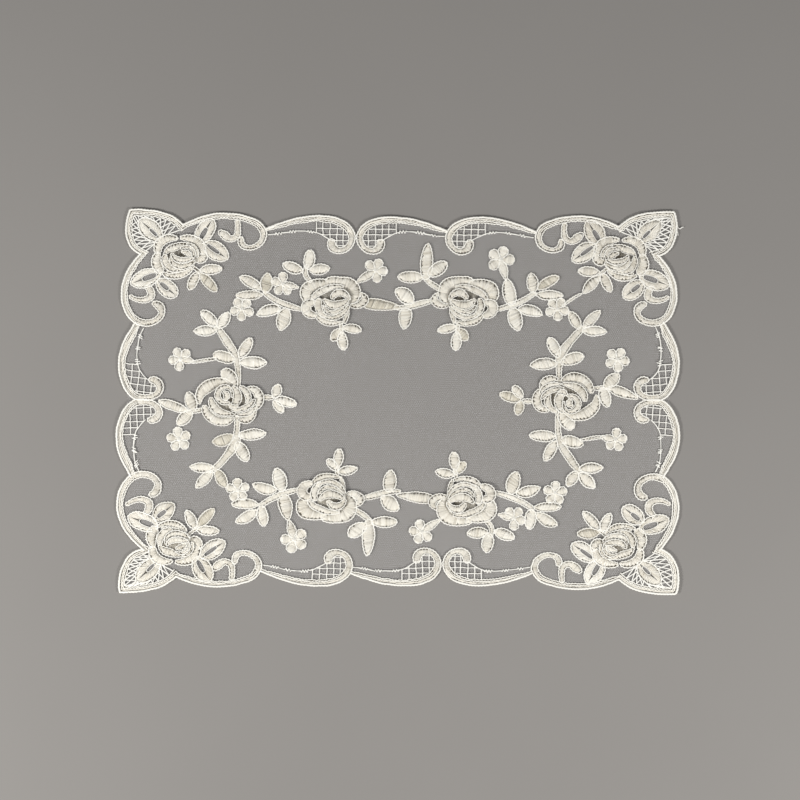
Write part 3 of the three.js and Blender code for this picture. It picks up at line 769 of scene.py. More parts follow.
class Bag:
    def __init__(self, name):
        self.name, self.n = name, 0
        self.V, self.tone, self.dense = [], [], []
        self.F = {3: [], 4: []}
        self.U = {3: [], 4: []}
        self.M = {3: [], 4: []}
    def verts(self, V, tone, dense):
        V = np.asarray(V, float).reshape(-1, 3)
        at = self.n
        self.V.append(V)
        self.tone.append(np.broadcast_to(np.asarray(tone, float), (len(V),)))
        self.dense.append(np.broadcast_to(np.asarray(dense, float), (len(V),)))
        self.n += len(V)
        return at
    def faces(self, F, U, mat):
        q = F.shape[-1]
        F, U = F.reshape(-1, q), U.reshape(-1, q, 2)
        self.F[q].append(F)
        self.U[q].append(U)
        self.M[q].append(np.full(len(F), mat, np.int32))
    def triangles(self):
        return sum(len(f) for f in self.F[3]) + 2 * sum(len(f) for f in self.F[4])
    def build(self, mats):
        V = np.vstack(self.V)
        V[:, 0] -= MID[0]
        V[:, 1] -= MID[1]
        V[:, 2] += lay(V[:, 0], V[:, 1])
        V *= 0.001
        me = bpy.data.meshes.new(self.name)
        F, U, M = [], [], []
        for q in (3, 4):
            if self.F[q]:
                F.append(np.vstack(self.F[q]))
                U.append(np.vstack(self.U[q]))
                M.append(np.concatenate(self.M[q]))
        counts = np.concatenate([np.full(len(f), f.shape[1], np.int32) for f in F])
        loops = np.concatenate([f.ravel() for f in F]).astype(np.int32)
        me.vertices.add(len(V))
        me.vertices.foreach_set("co", V.astype(np.float32).ravel())
        me.loops.add(len(loops))
        me.loops.foreach_set("vertex_index", loops)
        me.polygons.add(len(counts))
        me.polygons.foreach_set("loop_start", np.concatenate([[0], np.cumsum(counts)[:-1]]).astype(np.int32))
        me.polygons.foreach_set("material_index", np.concatenate(M))
        me.polygons.foreach_set("use_smooth", np.ones(len(counts), bool))
        for m in mats:
            me.materials.append(m)
        uv = me.uv_layers.new(name="ply")
        uv.data.foreach_set("uv", np.concatenate([u.reshape(-1, 2) for u in U]).astype(np.float32).ravel())
        for key, vals in (("tone", self.tone), ("dense", self.dense)):
            at = me.attributes.new(key, "FLOAT", "POINT")
            at.data.foreach_set("value", np.concatenate(vals).astype(np.float32))
        me.update()
        me.validate()
        ob = bpy.data.objects.new(self.name, me)
        bpy.context.scene.collection.objects.link(ob)
        return ob

def tube(bag, P, r, z0, mat=CORD, closed=False, sides=6, step=0.85, couch=True, tone=None,
         dense=0.5, flat=FLAT, drift=0.10, taper=(True, True), sew=0, miss=0.25):
    """A cord along the plan line P, lying on height z0 (a number or one for each point).
    r is its radius, or one for each point of P. sew is the side its holding stitches run
    in to: 1 left, -1 right, 0 none. miss is the share of them that can't be seen."""
    n0 = len(P)
    cols = np.column_stack([P[:, :2], np.broadcast_to(r, n0), np.broadcast_to(z0, n0)])
    if couch:
        cols = resample(cols, step, closed, 3)
    else:
        cols = resample(cols, step, closed)
    n = len(cols)
    if n < 3:
        return
    C, rr, zz = cols[:, :2].copy(), cols[:, 2].copy(), cols[:, 3].copy()
    N = normals(C, closed)
    C += N * wander(n, drift, 4, closed)[:, None]
    # a full cord gives less under its holding stitches than a thin one
    give = np.interp(rr, [0.60, 0.80], [1.0, 0.4])
    if couch and sew:
        # each holding stitch draws the cord in a little
        C += N * (sew * give * np.array([0.22, -0.09, -0.09])[np.arange(n) % 3])[:, None]
    if couch:
        beat = 1 + give * np.array([-0.18, 0.06, 0.08])[np.arange(n) % 3]
        rr = rr * beat * (1 + wander(n, 0.04, 3, closed))
    else:
        rr = rr * (1 + wander(n, 0.07, 2, closed))
    if not closed:
        if taper[0]:
            rr[0] *= 0.45
        if taper[1]:
            rr[-1] *= 0.45
    zc = zz + rr * flat + np.abs(wander(n, 0.03, 3, closed))
    ang = -math.pi / 2 + 2 * math.pi * np.arange(sides) / sides
    V = np.empty((n, sides, 3))
    # ang runs from the underside over the left, the top and the right
    V[:, :, :2] = C[:, None] + N[:, None] * (rr[:, None] * np.cos(ang))[:, :, None]
    V[:, :, 2] = zc[:, None] + flat * rr[:, None] * np.sin(ang)
    tone = rng.normal(0.55, 0.10) if tone is None else tone
    at = bag.verts(V, np.clip(tone + np.repeat(wander(n, 0.08, 3, closed), sides), 0, 1), dense)
    m = n if closed else n - 1
    i, j = np.meshgrid(np.arange(m), np.arange(sides), indexing="ij")
    i2, j2 = (i + 1) % n, (j + 1) % sides
    F = np.stack([i*sides + j, i*sides + j2, i2*sides + j2, i2*sides + j], -1) + at
    unit = 1.0 / 3 if couch else 0.3
    U = np.stack([np.stack([i*unit, j/sides], -1), np.stack([i*unit, (j+1)/sides], -1),
                  np.stack([(i+1)*unit, (j+1)/sides], -1), np.stack([(i+1)*unit, j/sides], -1)], -2)
    bag.faces(F, U, mat)
    if not closed:
        k = np.arange(1, sides - 1)
        end = np.stack([np.zeros_like(k), k, k + 1], -1) + at
        bag.faces(end[:, ::-1], np.zeros((len(k), 3, 2)), mat)
        bag.faces(end + (n - 1) * sides, np.zeros((len(k), 3, 2)), mat)
    if couch and sew:
        pick = np.arange(0 if closed else 3, n if closed else n - 2, 3)
        pick = pick[rng.random(len(pick)) >= miss]
        if len(pick):
            sewing(bag, C[pick], N[pick] * sew, rr[pick], zz[pick], flat, tone)

def bars(bag, C, z, half, thick, tones, dense, mat):
    """Many short threads at once: C holds their points, (count, points, 2)."""
    K, m = z.shape
    d = np.gradient(C, axis=1)
    d /= np.maximum(np.linalg.norm(d, axis=2, keepdims=True), 1e-9)
    nrm = np.stack([-d[..., 1], d[..., 0]], -1)
    V = np.empty((K, m, 3, 3))
    V[:, :, 0, :2] = C + nrm * half[:, :, None]
    V[:, :, 1, :2] = C
    V[:, :, 2, :2] = C - nrm * half[:, :, None]
    V[:, :, 0, 2] = z - thick * 0.7
    V[:, :, 1, 2] = z + thick
    V[:, :, 2, 2] = z - thick * 0.7
    base = bag.verts(V, np.repeat(np.clip(tones, 0, 1), m * 3), dense)
    k, i, j = np.meshgrid(np.arange(K), np.arange(m - 1), np.arange(3), indexing="ij")
    row = k * m * 3
    j2 = (j + 1) % 3
    F = np.stack([row + i*3 + j, row + i*3 + j2, row + (i+1)*3 + j2, row + (i+1)*3 + j], -1) + base
    s = np.zeros((K, m))
    s[:, 1:] = np.cumsum(np.linalg.norm(np.diff(C, axis=1), axis=2), 1)
    al, al2 = s[k, i], s[k, i + 1]
    U = np.stack([np.stack([al, j/3], -1), np.stack([al, (j+1)/3], -1),
                  np.stack([al2, (j+1)/3], -1), np.stack([al2, j/3], -1)], -2)
    bag.faces(F, U, mat)
    row = np.arange(K) * m * 3 + base
    bag.faces(np.stack([row + 2, row + 1, row], -1), np.zeros((K, 3, 2)), mat)
    row = row + (m - 1) * 3
    bag.faces(np.stack([row, row + 1, row + 2], -1), np.zeros((K, 3, 2)), mat)

def sewing(bag, C, S, r, z0, flat, tone):
    """The small stitches that hold a cord down, from its free flank over it to the filling."""
    K = len(C)
    T = np.stack([-S[:, 1], S[:, 0]], 1) * rng.normal(0.0, 0.16, K)[:, None]
    reach = np.stack([-np.interp(r, [0.55, 0.80], [1.04, 0.95]) * r, -0.55 * r, 0.50 * r, r + rng.uniform(0.30, 0.60, K)], 1)
    P = C[:, None] + S[:, None] * reach[:, :, None] + T[:, None] * (reach / np.maximum(r, 0.3)[:, None])[:, :, None] * 0.6
    top = z0 + flat * r * 1.86
    z = np.stack([z0 + flat * r * 0.55, top, top, z0 + 0.36], 1)
    half = np.full((K, 4), 0.17) * rng.normal(1, 0.12, K)[:, None]
    bars(bag, P, z, half, 0.07, np.full(K, tone + 0.1) + rng.normal(0, 0.1, K), 0.5, FINE)

def stitches(bag, A, B, z0, rise=0.25, tone=0.5, dense=0.5, pitch=PITCH, slant=0.0, fill=0.56,
             mat=SATIN, ragged=0.10, least=0.7, thick=0.16, segs=4, edge=0.30, drop=0.0):
    """Satin stitches laid from line A to line B (left and right, sampled alike)."""
    mid = (A + B) / 2
    s = chord(mid)
    longer = max(chord(A)[-1], chord(B)[-1], s[-1])
    count = int((0.5 * longer + 0.5 * s[-1]) / pitch)
    if count < 2:
        return
    t = (np.arange(count) + 0.5) / count * s[-1] + rng.normal(0, 0.05, count) * min(1.0, s[-1] / longer)
    def at(L, q):
        q = np.clip(q, 0, s[-1])
        return np.stack([np.interp(q, s, L[:, 0]), np.interp(q, s, L[:, 1])], 1)
    a, b = at(A, t - slant / 2), at(B, t + slant / 2)
    wide = np.hypot(*(b - a).T)
    keep = wide > least
    if drop:
        keep &= rng.random(count) > drop
    if keep.sum() < 1:
        return
    ga = np.hypot(*np.gradient(a, axis=0).T)
    gb = np.hypot(*np.gradient(b, axis=0).T)
    a, b, wide, ga, gb = a[keep], b[keep], wide[keep], ga[keep], gb[keep]
    K = len(a)
    d = (b - a) / wide[:, None]
    a = a - d * rng.normal(0, ragged, K)[:, None]
    b = b + d * rng.normal(0, ragged, K)[:, None]
    v = np.linspace(0, 1, segs + 1)
    C = a[:, None] * (1 - v)[None, :, None] + b[:, None] * v[None, :, None]
    half = np.clip(fill * (ga[:, None] * (1 - v) + gb[:, None] * v), 0.12, 0.60) * (1 + rng.normal(0, 0.10, K))[:, None]
    half[:, 0] *= 0.8
    half[:, -1] *= 0.8
    # neighbours share their pull, so the filling swells and sinks in groups
    up = rise * (1 + wander(K, 0.20, 4) + rng.normal(0, 0.07, K))
    z = z0 + edge + up[:, None] * (1 - np.abs(2 * v - 1) ** 2.1) + rng.normal(0, 0.02, K)[:, None]
    tones = tone + rng.normal(0, 0.16, K) + wander(K, 0.13, 4)
    bars(bag, C, z, half, thick, tones, dense, mat)

def padding(bag, A, B, z0, z1, step=1.5, shade=0.0):
    """The ground of dense small stitches under the satin, a thin closed strip with its top painted dark:
    shade is the tone of its top, painted shade that shows in the needle holes."""
    AB = resample(np.hstack([A, B]), step)
    a, b = AB[:, :2], AB[:, 2:]
    n = len(a)
    V = np.empty((n, 4, 3))
    for j, (p, z) in enumerate(((b, z0), (a, z0), (a, z1), (b, z1))):
        V[:, j, :2] = p
        V[:, j, 2] = z
    at = bag.verts(V, np.tile([0.9, 0.9, shade, shade], n), 0.5)
    i, j = np.meshgrid(np.arange(n - 1), np.arange(4), indexing="ij")
    j2 = (j + 1) % 4
    F = np.stack([i*4 + j, i*4 + j2, (i+1)*4 + j2, (i+1)*4 + j], -1) + at
    U = np.stack([np.stack([i*step, j*1.0], -1), np.stack([i*step, j+1.0], -1),
                  np.stack([(i+1)*step, j+1.0], -1), np.stack([(i+1)*step, j*1.0], -1)], -2)
    bag.faces(F, U, PAD_SHADE)
    bag.faces(np.array([[3, 2, 1, 0]]) + at, np.zeros((1, 4, 2)), PAD_SHADE)
    bag.faces(np.array([[0, 1, 2, 3]]) + at + (n - 1) * 4, np.zeros((1, 4, 2)), PAD_SHADE)

def knot(bag, x, y, r, z0, tone=0.6, mat=FINE):
    """A small round knot."""
    rings, sides = 3, 6
    V = [[x, y, z0]]
    for i in range(1, rings):
        f = math.pi * i / rings
        for j in range(sides):
            g = 2 * math.pi * (j + 0.5 * i) / sides
            V.append([x + r * math.sin(f) * math.cos(g), y + r * math.sin(f) * math.sin(g), z0 + 0.75 * r * (1 - math.cos(f))])
    V.append([x, y, z0 + 1.5 * r])
    at = bag.verts(V, tone, 0.5)
    j = np.arange(sides)
    j2 = (j + 1) % sides
    bag.faces(np.stack([np.zeros_like(j), 1 + j2, 1 + j], -1) + at, np.zeros((sides, 3, 2)), mat)
    bag.faces(np.stack([1 + j, 1 + j2, 1 + sides + j2, 1 + sides + j], -1) + at, np.zeros((sides, 4, 2)), mat)
    bag.faces(np.stack([1 + sides + j, 1 + sides + j2, np.full_like(j, 1 + 2 * sides)], -1) + at, np.zeros((sides, 3, 2)), mat)

# ---- the elements of the embroidery -----------------------------------------
def filled(bag, rb, cord, z0, rise, tone, dense, slant=0.0, pitch=PITCH, fill=0.56, drop=0.0,
           deep=(0.7, 0.7), share=(0.5, 0.5), shade=0.0, slim=1.3):
    """Padding and satin stitches between a ribbon's two cords."""
    w = cord * 1.72 + 0.12
    room = np.maximum(rb.h - w, 0)
    A = rb.off(1, w + np.minimum(holes(rb.s, deep[0], share[0], slim), room))
    B = rb.off(-1, w + np.minimum(holes(rb.s, deep[1], share[1], slim), room))
    stitches(bag, A, B, z0, rise, tone, dense, pitch, slant, fill, drop=drop)
    inner = np.nonzero(rb.h > w + 0.35)[0]
    if len(inner) > 3:
        a, b = inner[0], inner[-1] + 1
        # the padding's top is painted shade, seen in the needle holes
        padding(bag, rb.off(1, w - 0.27)[a:b], rb.off(-1, w - 0.27)[a:b], WORK_Z - 0.02, z0 + 0.22, shade=shade)

def leaf(bag, r, place, z0=WORK_Z):
    tone, dense = leaf_tone()
    rb = Ribbon(put(leaf_line(r), place))
    rb.h = rb.h * (1 + wander(len(rb.h), 0.045, 9))
    loop = relax(uneven(resample(loop_of(rb, LEAF_CORD), 0.5, True), 0.16), 2)
    tube(bag, loop, LEAF_CORD * rng.normal(1, 0.05), z0, closed=True, dense=0.5, tone=min(tone + 0.12, 0.85), sew=-1)
    side = place["sx"] * place["sy"]
    if r["slit"]:
        eye(bag, r, rb, z0, tone)
        return
    lean = rng.random() < 0.5
    thin = dense < 0.3
    # the padding's painted shade is lighter under the thin leaves
    filled(bag, rb, LEAF_CORD, z0, (0.26 + 0.030 * r["wide"]) * rng.uniform(0.8, 1.2), tone, dense,
           slant=side * r["wide"] * rng.uniform(0.02, 0.26), pitch=PITCH * rng.uniform(0.95, 1.08),
           fill=0.56, drop=0.03 if thin else 0.0, shade=0.45 if thin else 0.05,
           deep=(1.6, 0.8) if lean else (0.8, 1.6), share=(0.8, 0.4) if lean else (0.4, 0.8))

def eye(bag, r, rb, z0, tone):
    """A leaf worked round an open slit: its stitches fan from the slit to the outline."""
    w = LEAF_CORD * 1.72
    t = rb.s / rb.length
    at = r["s0"] + (r["s1"] - r["s0"]) * t
    C = np.stack([np.interp(at, t, rb.C[:, 0]), np.interp(at, t, rb.C[:, 1])], 1)
    N = normals(C)
    oh = r["slit"] * 0.5 * np.clip(4 * t * (1 - t), 0, 1) ** 0.3
    body = np.nonzero(rb.h > w * 0.9)[0]
    # past the ends of the filling the stitches all come from its end point
    k = np.clip(np.arange(len(t)), body[0], body[-1])
    for side in (1, -1):
        outer = (rb.C + rb.N * (side * np.maximum(rb.h - w - holes(rb.s, 1.6, 0.6, 1.3), 0.12))[:, None])[k]
        inner = C + N * (side * (oh + 0.42))[:, None]
        A, B = (outer, inner) if side > 0 else (inner, outer)
        stitches(bag, A, B, z0, 0.42, tone, 0.6, pitch=PITCH * 0.95, fill=0.56)
        out2 = (rb.C + rb.N * (side * np.maximum(rb.h - w + 0.1, 0.1))[:, None])[k]
        in2 = C + N * (side * (oh + 0.30))[:, None]
        A, B = (out2, in2) if side > 0 else (in2, out2)
        # its top is painted shade, seen between the stitches
        padding(bag, A, B, WORK_Z - 0.02, z0 + 0.22, shade=0.05)
    rim = np.vstack([C + N * (oh + 0.30)[:, None], (C - N * (oh + 0.30)[:, None])[::-1]])
    tube(bag, relax(resample(rim, 0.5, True), 1), 0.34, z0 + 0.10, mat=FINE, closed=True, couch=False, sides=5, step=0.9, drift=0.04, tone=tone)

def leaf_tone():
    """Most leaves are even, some whiter and denser, some greyer and thin."""
    p = rng.random()
    if p < 0.2:
        return 0.8, 0.8
    if p < 0.31:
        return 0.32, 0.2
    return rng.uniform(0.48, 0.68), 0.5

def stem(bag, rows, place, z0=WORK_Z):
    rb = ribbon(rows, place, ends=True)
    tone = rng.uniform(0.5, 0.7)
    cord = min(0.52, 0.42 * float(rb.h.max()))
    loop = relax(uneven(resample(loop_of(rb, cord), 0.5, True), 0.10), 2)
    tube(bag, loop, cord * rng.normal(1, 0.04), z0, closed=True, tone=tone + 0.1, sew=-1)
    first = rng.random() < 0.5
    filled(bag, rb, cord, z0, 0.22, tone, 0.5, pitch=PITCH * 1.05,
           deep=(0.9, 0.5) if first else (0.5, 0.9), share=(0.95, 0.35) if first else (0.35, 0.95))

def fold(bag, rows, place, centre):
    """One petal or fold of a rose."""
    rb = ribbon(rows, place, ends=True)
    lift = rows[0]["lift"]
    z0 = WORK_Z + LAYER * lift + 0.20
    tone = rng.uniform(0.5, 0.7)
    wide = 2 * float(rb.h.max())
    out = 1 if (np.hypot(*(rb.off(1, 0) - centre).T).mean() > np.hypot(*(rb.off(-1, 0) - centre).T).mean()) else -1
    r_out, r_in = (ROSE_CORD, 0.44) if lift < 1 else (FOLD_CORD, 0.42)
    inset = min(r_out, wide * 0.16)
    loop = loop_of(rb, inset)
    keep = np.nonzero(rb.h - inset > 1e-3)[0]
    n = keep[-1] + 1 - keep[0]
    # the cord is fuller on the outer side of the petal
    first = min(7, len(loop) - 2 * n)
    order = np.concatenate([np.full(n, 1.0 * out), np.zeros(first), np.full(n, -1.0 * out), np.zeros(len(loop) - 2 * n - first)])
    rad = np.interp(order, [-1, 0, 1], [r_in, (r_in + r_out) / 2, r_out])
    cols = relax(uneven(resample(np.column_stack([loop, rad]), 0.5, True), 0.20 if lift < 1 else 0.13), 2)
    tube(bag, cols[:, :2], cols[:, 2], z0 + (0.05 if lift else 0), closed=True, tone=tone + 0.12, sew=-1, miss=0.35 if lift < 1 else 0.6)
    # the outer petals have a row of long needle holes along their rims
    rim = lift < 1.5 and wide > 5.5
    deep, share = ((2.1, 0.7), (0.85, 0.4)) if rim else ((1.3, 0.7), (0.65, 0.4))
    if out < 0:
        deep, share = deep[::-1], share[::-1]
    filled(bag, rb, 0.5 * (r_in + r_out), z0 + (0.06 if lift else 0), min(0.22 + 0.034 * wide, 0.62), tone, 0.6, fill=0.56,
           deep=deep, share=share, slim=2.0 if rim else 1.3)

def heart(bag, rows, place):
    """The ground of a rose, painted dark as the shade between its folds."""
    rb = ribbon(rows, place)
    padding(bag, rb.off(1, 0.6), rb.off(-1, 0.6), WORK_Z - 0.02, WORK_Z + 0.16, step=2.0, shade=0.12)
    # its sparse stitches are dark too: painted shade
    stitches(bag, rb.off(1, 0.8), rb.off(-1, 0.8), WORK_Z, 0.02, 0.25, 0.5, pitch=1.2, fill=0.24, edge=0.2, thick=0.1)

def bloom(bag, r, place, z0=WORK_Z):
    """A small five-petalled flower; the petal nearest (px, py) is its stalk."""
    aim = math.atan2(r["py"] - r["y"], r["px"] - r["x"])
    reach = math.hypot(r["px"] - r["x"], r["py"] - r["y"])
    for k in range(5):
        a = math.radians(r["turn"] + 72 * k)
        off = (a - aim + math.pi) % (2 * math.pi) - math.pi
        if abs(off) <= math.pi / 5 + 1e-6 and reach > 1.1 * r["r"]:
            rows = [(f * reach, h * r["r"]) for f, h in ((0.1, .2), (.35, .34), (.6, .33), (.85, .20), (1, .12))]
            a = aim
        else:
            rows = [(f * r["r"], h * r["r"]) for f, h in ((.05, .12), (.25, .24), (.46, .37), (.67, .41))]
        P = np.array([[r["x"] + math.cos(a) * d, r["y"] + math.sin(a) * d, h] for d, h in rows])
        rb = Ribbon(rounded(smooth(put(P, place), 14)))
        tone = rng.uniform(0.55, 0.75)
        loop = relax(uneven(resample(loop_of(rb, BUD_CORD), 0.4, True), 0.12), 2)
        tube(bag, loop, BUD_CORD, z0, closed=True, tone=tone + 0.1, sew=-1)
        filled(bag, rb, BUD_CORD, z0, 0.36, tone, 0.6, pitch=0.56, deep=(0.9, 0.9), share=(0.5, 0.5))
    c = put(np.array([[r["x"], r["y"]]]), place)[0]
    g = np.linspace(0, 2 * np.pi, 12, endpoint=False)
    ring = c + 1.0 * np.stack([np.cos(g), np.sin(g)], 1)
    tube(bag, ring, 0.42, z0 + 0.62, closed=True, couch=False, sides=5, step=0.8, drift=0.05, tone=0.65)
    knot(bag, c[0], c[1], 0.6, z0 + 0.55)

def picots(bag, cord, N, at, z, turn, last):
    """A cluster of short looped ends that cross a thin cord, longer on the side turn."""
    s = chord(cord)
    count = int(rng.integers(2, 4))
    lean = rng.normal(0, 0.35)
    for j in range(count):
        q = s[at] + (j - 0.5 * (count - 1)) * rng.uniform(1.35, 1.7)
        i = int(np.clip(np.searchsorted(s, q), 1, len(cord) - 2))
        nn = N[i] * (-turn if last and j == 0 else turn)
        tt = np.array([nn[1], -nn[0]])
        d = nn + tt * (lean + rng.normal(0, 0.12))
        near, far = rng.uniform(0.7, 1.5), rng.uniform(1.6, 2.5)
        tube(bag, np.array([cord[i] - d * near, cord[i] + tt * rng.normal(0, 0.15), cord[i] + d * far]),
             np.array([0.40, 0.50, 0.40]), z + 0.08, mat=FINE, couch=False, sides=5, step=0.6, drift=0.03, tone=0.85, taper=(False, False))
        for end in (-near, far):
            if rng.random() < 0.6:
                knot(bag, cord[i][0] + d[0] * end, cord[i][1] + d[1] * end, rng.uniform(0.45, 0.6), z, 0.85)
    knot(bag, cord[at][0], cord[at][1], rng.uniform(0.7, 0.9), z - 0.05, 0.85)

# ---- the edge ---------------------------------------------------------------
def on_lobe(lobe, rows, spread=1.0):
    a, b = np.array([lobe["ax"], lobe["ay"]]), np.array([lobe["bx"], lobe["by"]])
    l = np.hypot(*(b - a))
    n = np.array([b[1] - a[1], -(b[0] - a[0])]) / l      # inwards: the lobes run clockwise
    f, c = (b, a) if lobe["turn"] < 0 else (a, b)
    g = lobe["bulge"] / NOMINAL_BULGE[lobe["kind"]]
    out = []
    for r in rows:
        v = r["v"] * g if r["v"] < 0 else r["v"]
        p = f + (c - f) * r["u"] + n * v
        out.append([p[0], p[1], r.get("half", 0.0)])
    return np.array(out)

def of_kind(rows, lobe):
    return [r for r in rows if r["kind"] == lobe["kind"]]

def band_of(lobe):
    P = on_lobe(lobe, of_kind(BAND, lobe))
    return Ribbon(smooth(P, int(chord(P)[-1] / 0.6)))

def side_of(lobe):
    """Which side of its own line faces outwards."""
    return 1 if lobe["turn"] > 0 else -1

def drawn_out(L, start=0.0, end=0.0):
    """A line made longer along its own ends."""
    parts = [L]
    if start > 0:
        d = L[0, :2] - L[min(3, len(L) - 1), :2]
        q = L[0].copy()
        q[:2] += d / np.hypot(*d) * start
        parts.insert(0, q[None])
    if end > 0:
        d = L[-1, :2] - L[-min(4, len(L)), :2]
        q = L[-1].copy()
        q[:2] += d / np.hypot(*d) * end
        parts.append(q[None])
    return np.vstack(parts)

def notch_turn(one, two):
    """For two edges that leave a notch: how far a line at 1 mm inside one runs on to meet the other's."""
    d, e = one[4, :2] - one[0, :2], two[4, :2] - two[0, :2]
    c = np.dot(d, e) / np.hypot(*d) / np.hypot(*e)
    return 1.0 / math.tan(0.5 * math.acos(np.clip(c, -1, 1)))

def lead_of(lobe):
    """How far the lines of a band run on beyond its plain notch, for a line at w mm inside."""
    i = LOBES.index(lobe)
    other = LOBES[(i - 1) % len(LOBES)] if lobe["turn"] > 0 else LOBES[(i + 1) % len(LOBES)]
    if other["kind"] != "petal":
        return lambda w: 1.9
    one, two, _ = petal_lines(other)
    edge = two[::-1] if lobe["turn"] > 0 else one
    rb = band_of(lobe)
    k = notch_turn(edge[:30:3], rb.off(side_of(lobe), 0)[:30:3])
    return lambda w: w * k

def band(cords, fills, lobe):
    """The edge of a lobe: a full outer cord, run threads, a second and a thin inner cord,
    that end in a curl worked across."""
    rb = band_of(lobe)
    out = side_of(lobe)
    lead = lead_of(lobe)
    t = rb.s / rb.length
    z, w = WORK_Z, 2 * rb.h
    at = lambda inset: rb.C + rb.N * (out * (rb.h - inset))[:, None]
    # outer cord: along the outer edge, round the curl's end, and back inside
    r_out = np.interp(t, [0, 0.55, 0.72, 1], [EDGE_CORD, EDGE_CORD, 0.64, 0.54])
    outer = np.column_stack([at(r_out), r_out])
    sec = np.minimum(w - 2.45, w * 0.68)
    r_sec = np.interp(t, [0, 0.08, 0.60, 0.70], [0.45, BAND_CORD, BAND_CORD, 0.34])
    # the thin cord touches the second one, and leaves it at the needle holes
    long = lobe["kind"].endswith("L")
    near = sec + r_sec + THIN_CORD + 0.02 + holes(rb.s, 0.80 if long else 0.60, 0.75 if long else 0.6)
    free = w - 0.50
    r_in = np.interp(t, [0, 0.62, 0.72, 1], [THIN_CORD, THIN_CORD, 0.50, 0.50])
    mix = np.clip((t - 0.60) / 0.08, 0, 1)
    thin = np.column_stack([at(np.minimum(near, free + 0.1) * (1 - mix) + free * mix), r_in])
    T = np.array([rb.N[-1][1], -rb.N[-1][0]])
    ang = np.linspace(0, math.pi, 9)[1:-1]
    cap = rb.C[-1] + (rb.h[-1] - 0.5) * (np.cos(ang)[:, None] * rb.N[-1] * out + 0.85 * np.sin(ang)[:, None] * T)
    whole = np.vstack([drawn_out(outer, lead(EDGE_CORD)), np.column_stack([cap, np.full(len(cap), 0.52)]),
                       drawn_out(thin, lead(float(near[0])))[::-1]])
    whole = relax(resample(whole, 0.6), 2, False)
    tube(cords, whole[:, :2], whole[:, 2], z, tone=0.72, drift=0.12, taper=(False, False), sew=-out)
    # second cord, fading into the curl
    upto = t <= 0.69
    line = drawn_out(np.column_stack([at(sec), r_sec])[upto], lead(float(sec[0])))
    tube(cords, line[:, :2], line[:, 2], z, tone=0.62, drift=0.10, taper=(False, True), sew=out)
    # run threads between the outer and the second cord
    first = 2 * r_out + (0.0 if long else 0.10)
    room = np.maximum(sec - r_sec - 0.05 - first, 0.3)
    count = 3 if float(np.median(room[upto])) > 1.9 else 2
    gap_o, gap_i = holes(rb.s, 1.0 if long else 1.15, 0.85 if long else 0.95), holes(rb.s, 0.7, 0.6)
    for k in range(count):
        f = (k + 0.5) / count
        # needle holes: beside the outer cord, or one thread further in on the short sides
        opens = gap_o * (1 - f) if (long and k == 0) or (not long and k > 0) else 0
        pos = first + room * f + opens - (gap_i if k == count - 1 else 0) * f
        r = room / (2 * count) * (1.12 if long else 1.0)
        keep = (t >= 0.0) & (t <= 0.70 + 0.02 * k)
        line = drawn_out(np.column_stack([at(pos), r])[keep], lead(float(pos[0])) * 0.9)
        tube(fills, line[:, :2], line[:, 2], z + 0.26, mat=SATIN, couch=False, sides=5, step=1.5, drift=0.06, tone=rng.normal(0.5, 0.06))
    # the ground under them, its top painted dark as the shade in the needle holes
    keep = t <= 0.72
    for lo, hi, zt in ((1.5 * r_out, sec, 0.26), (sec, sec + r_sec + THIN_CORD + 0.25, 0.40)):
        a = drawn_out(at(lo)[keep], lead(float(lo[0])) * 0.9)
        b = drawn_out(at(hi)[keep], lead(float(hi[0])) * 0.9)
        padding(fills, *((a, b) if out > 0 else (b, a)), z - 0.02, z + zt)
    # the curl is worked across
    curl = rb.part(0.665 * rb.length, rb.length)
    rimmed = rng.random() < 0.6
    o_in, i_in = 1.08 + holes(curl.s * 1.3, 1.7 if rimmed else 0.9, 0.85 if rimmed else 0.6), 0.88 + holes(curl.s, 0.5, 0.35)
    left, right = (o_in, i_in) if out > 0 else (i_in, o_in)
    A = curl.C + curl.N * (curl.h - left)[:, None]
    B = curl.C - curl.N * (curl.h - right)[:, None]
    stitches(fills, A, B, z, 0.40, 0.62, 0.6, pitch=0.68, fill=0.52)
    # padding under the curl, its top painted dark as shade
    A = curl.C + curl.N * (curl.h - 0.9)[:, None]
    B = curl.C - curl.N * (curl.h - 0.9)[:, None]
    padding(fills, A, B, z - 0.02, z + 0.22)
    fan_end(fills, curl, out, z)
    return rb

def fan_end(bag, curl, out, z):
    """Short radial stitches that round off the end of a curl."""
    C, N, h = curl.C[-1], curl.N[-1], curl.h[-1]
    T = np.array([N[1], -N[0]])
    ang = np.linspace(0, math.pi, 9)
    rim = C + (h - 1.0) * (np.cos(ang)[:, None] * N + 0.85 * np.sin(ang)[:, None] * T)
    core = C + 0.3 * (np.cos(ang)[:, None] * N + np.sin(ang)[:, None] * T)
    stitches(bag, rim, core, z, 0.22, 0.62, 0.6, pitch=0.6, fill=0.52, least=0.3, edge=0.4)
    # its top is painted dark as shade
    padding(bag, rim, core, z - 0.02, z + 0.3, step=0.8)

def scroll(cords, fills, lobe):
    rows = of_kind(SCROLL, lobe)
    if not rows:
        return
    P = on_lobe(lobe, rows)
    rb = Ribbon(smooth(P, int(chord(P)[-1] / 0.5)))
    loop = relax(resample(loop_of(rb, 0.52, cap0=False), 0.5, True), 2)
    tube(cords, loop, 0.52, WORK_Z + 0.06, closed=True, tone=0.68, sew=-1)
    filled(fills, rb, 0.52, WORK_Z + 0.06, 0.40, 0.6, 0.6, pitch=0.66, deep=(0.8, 0.5), share=(0.6, 0.4))

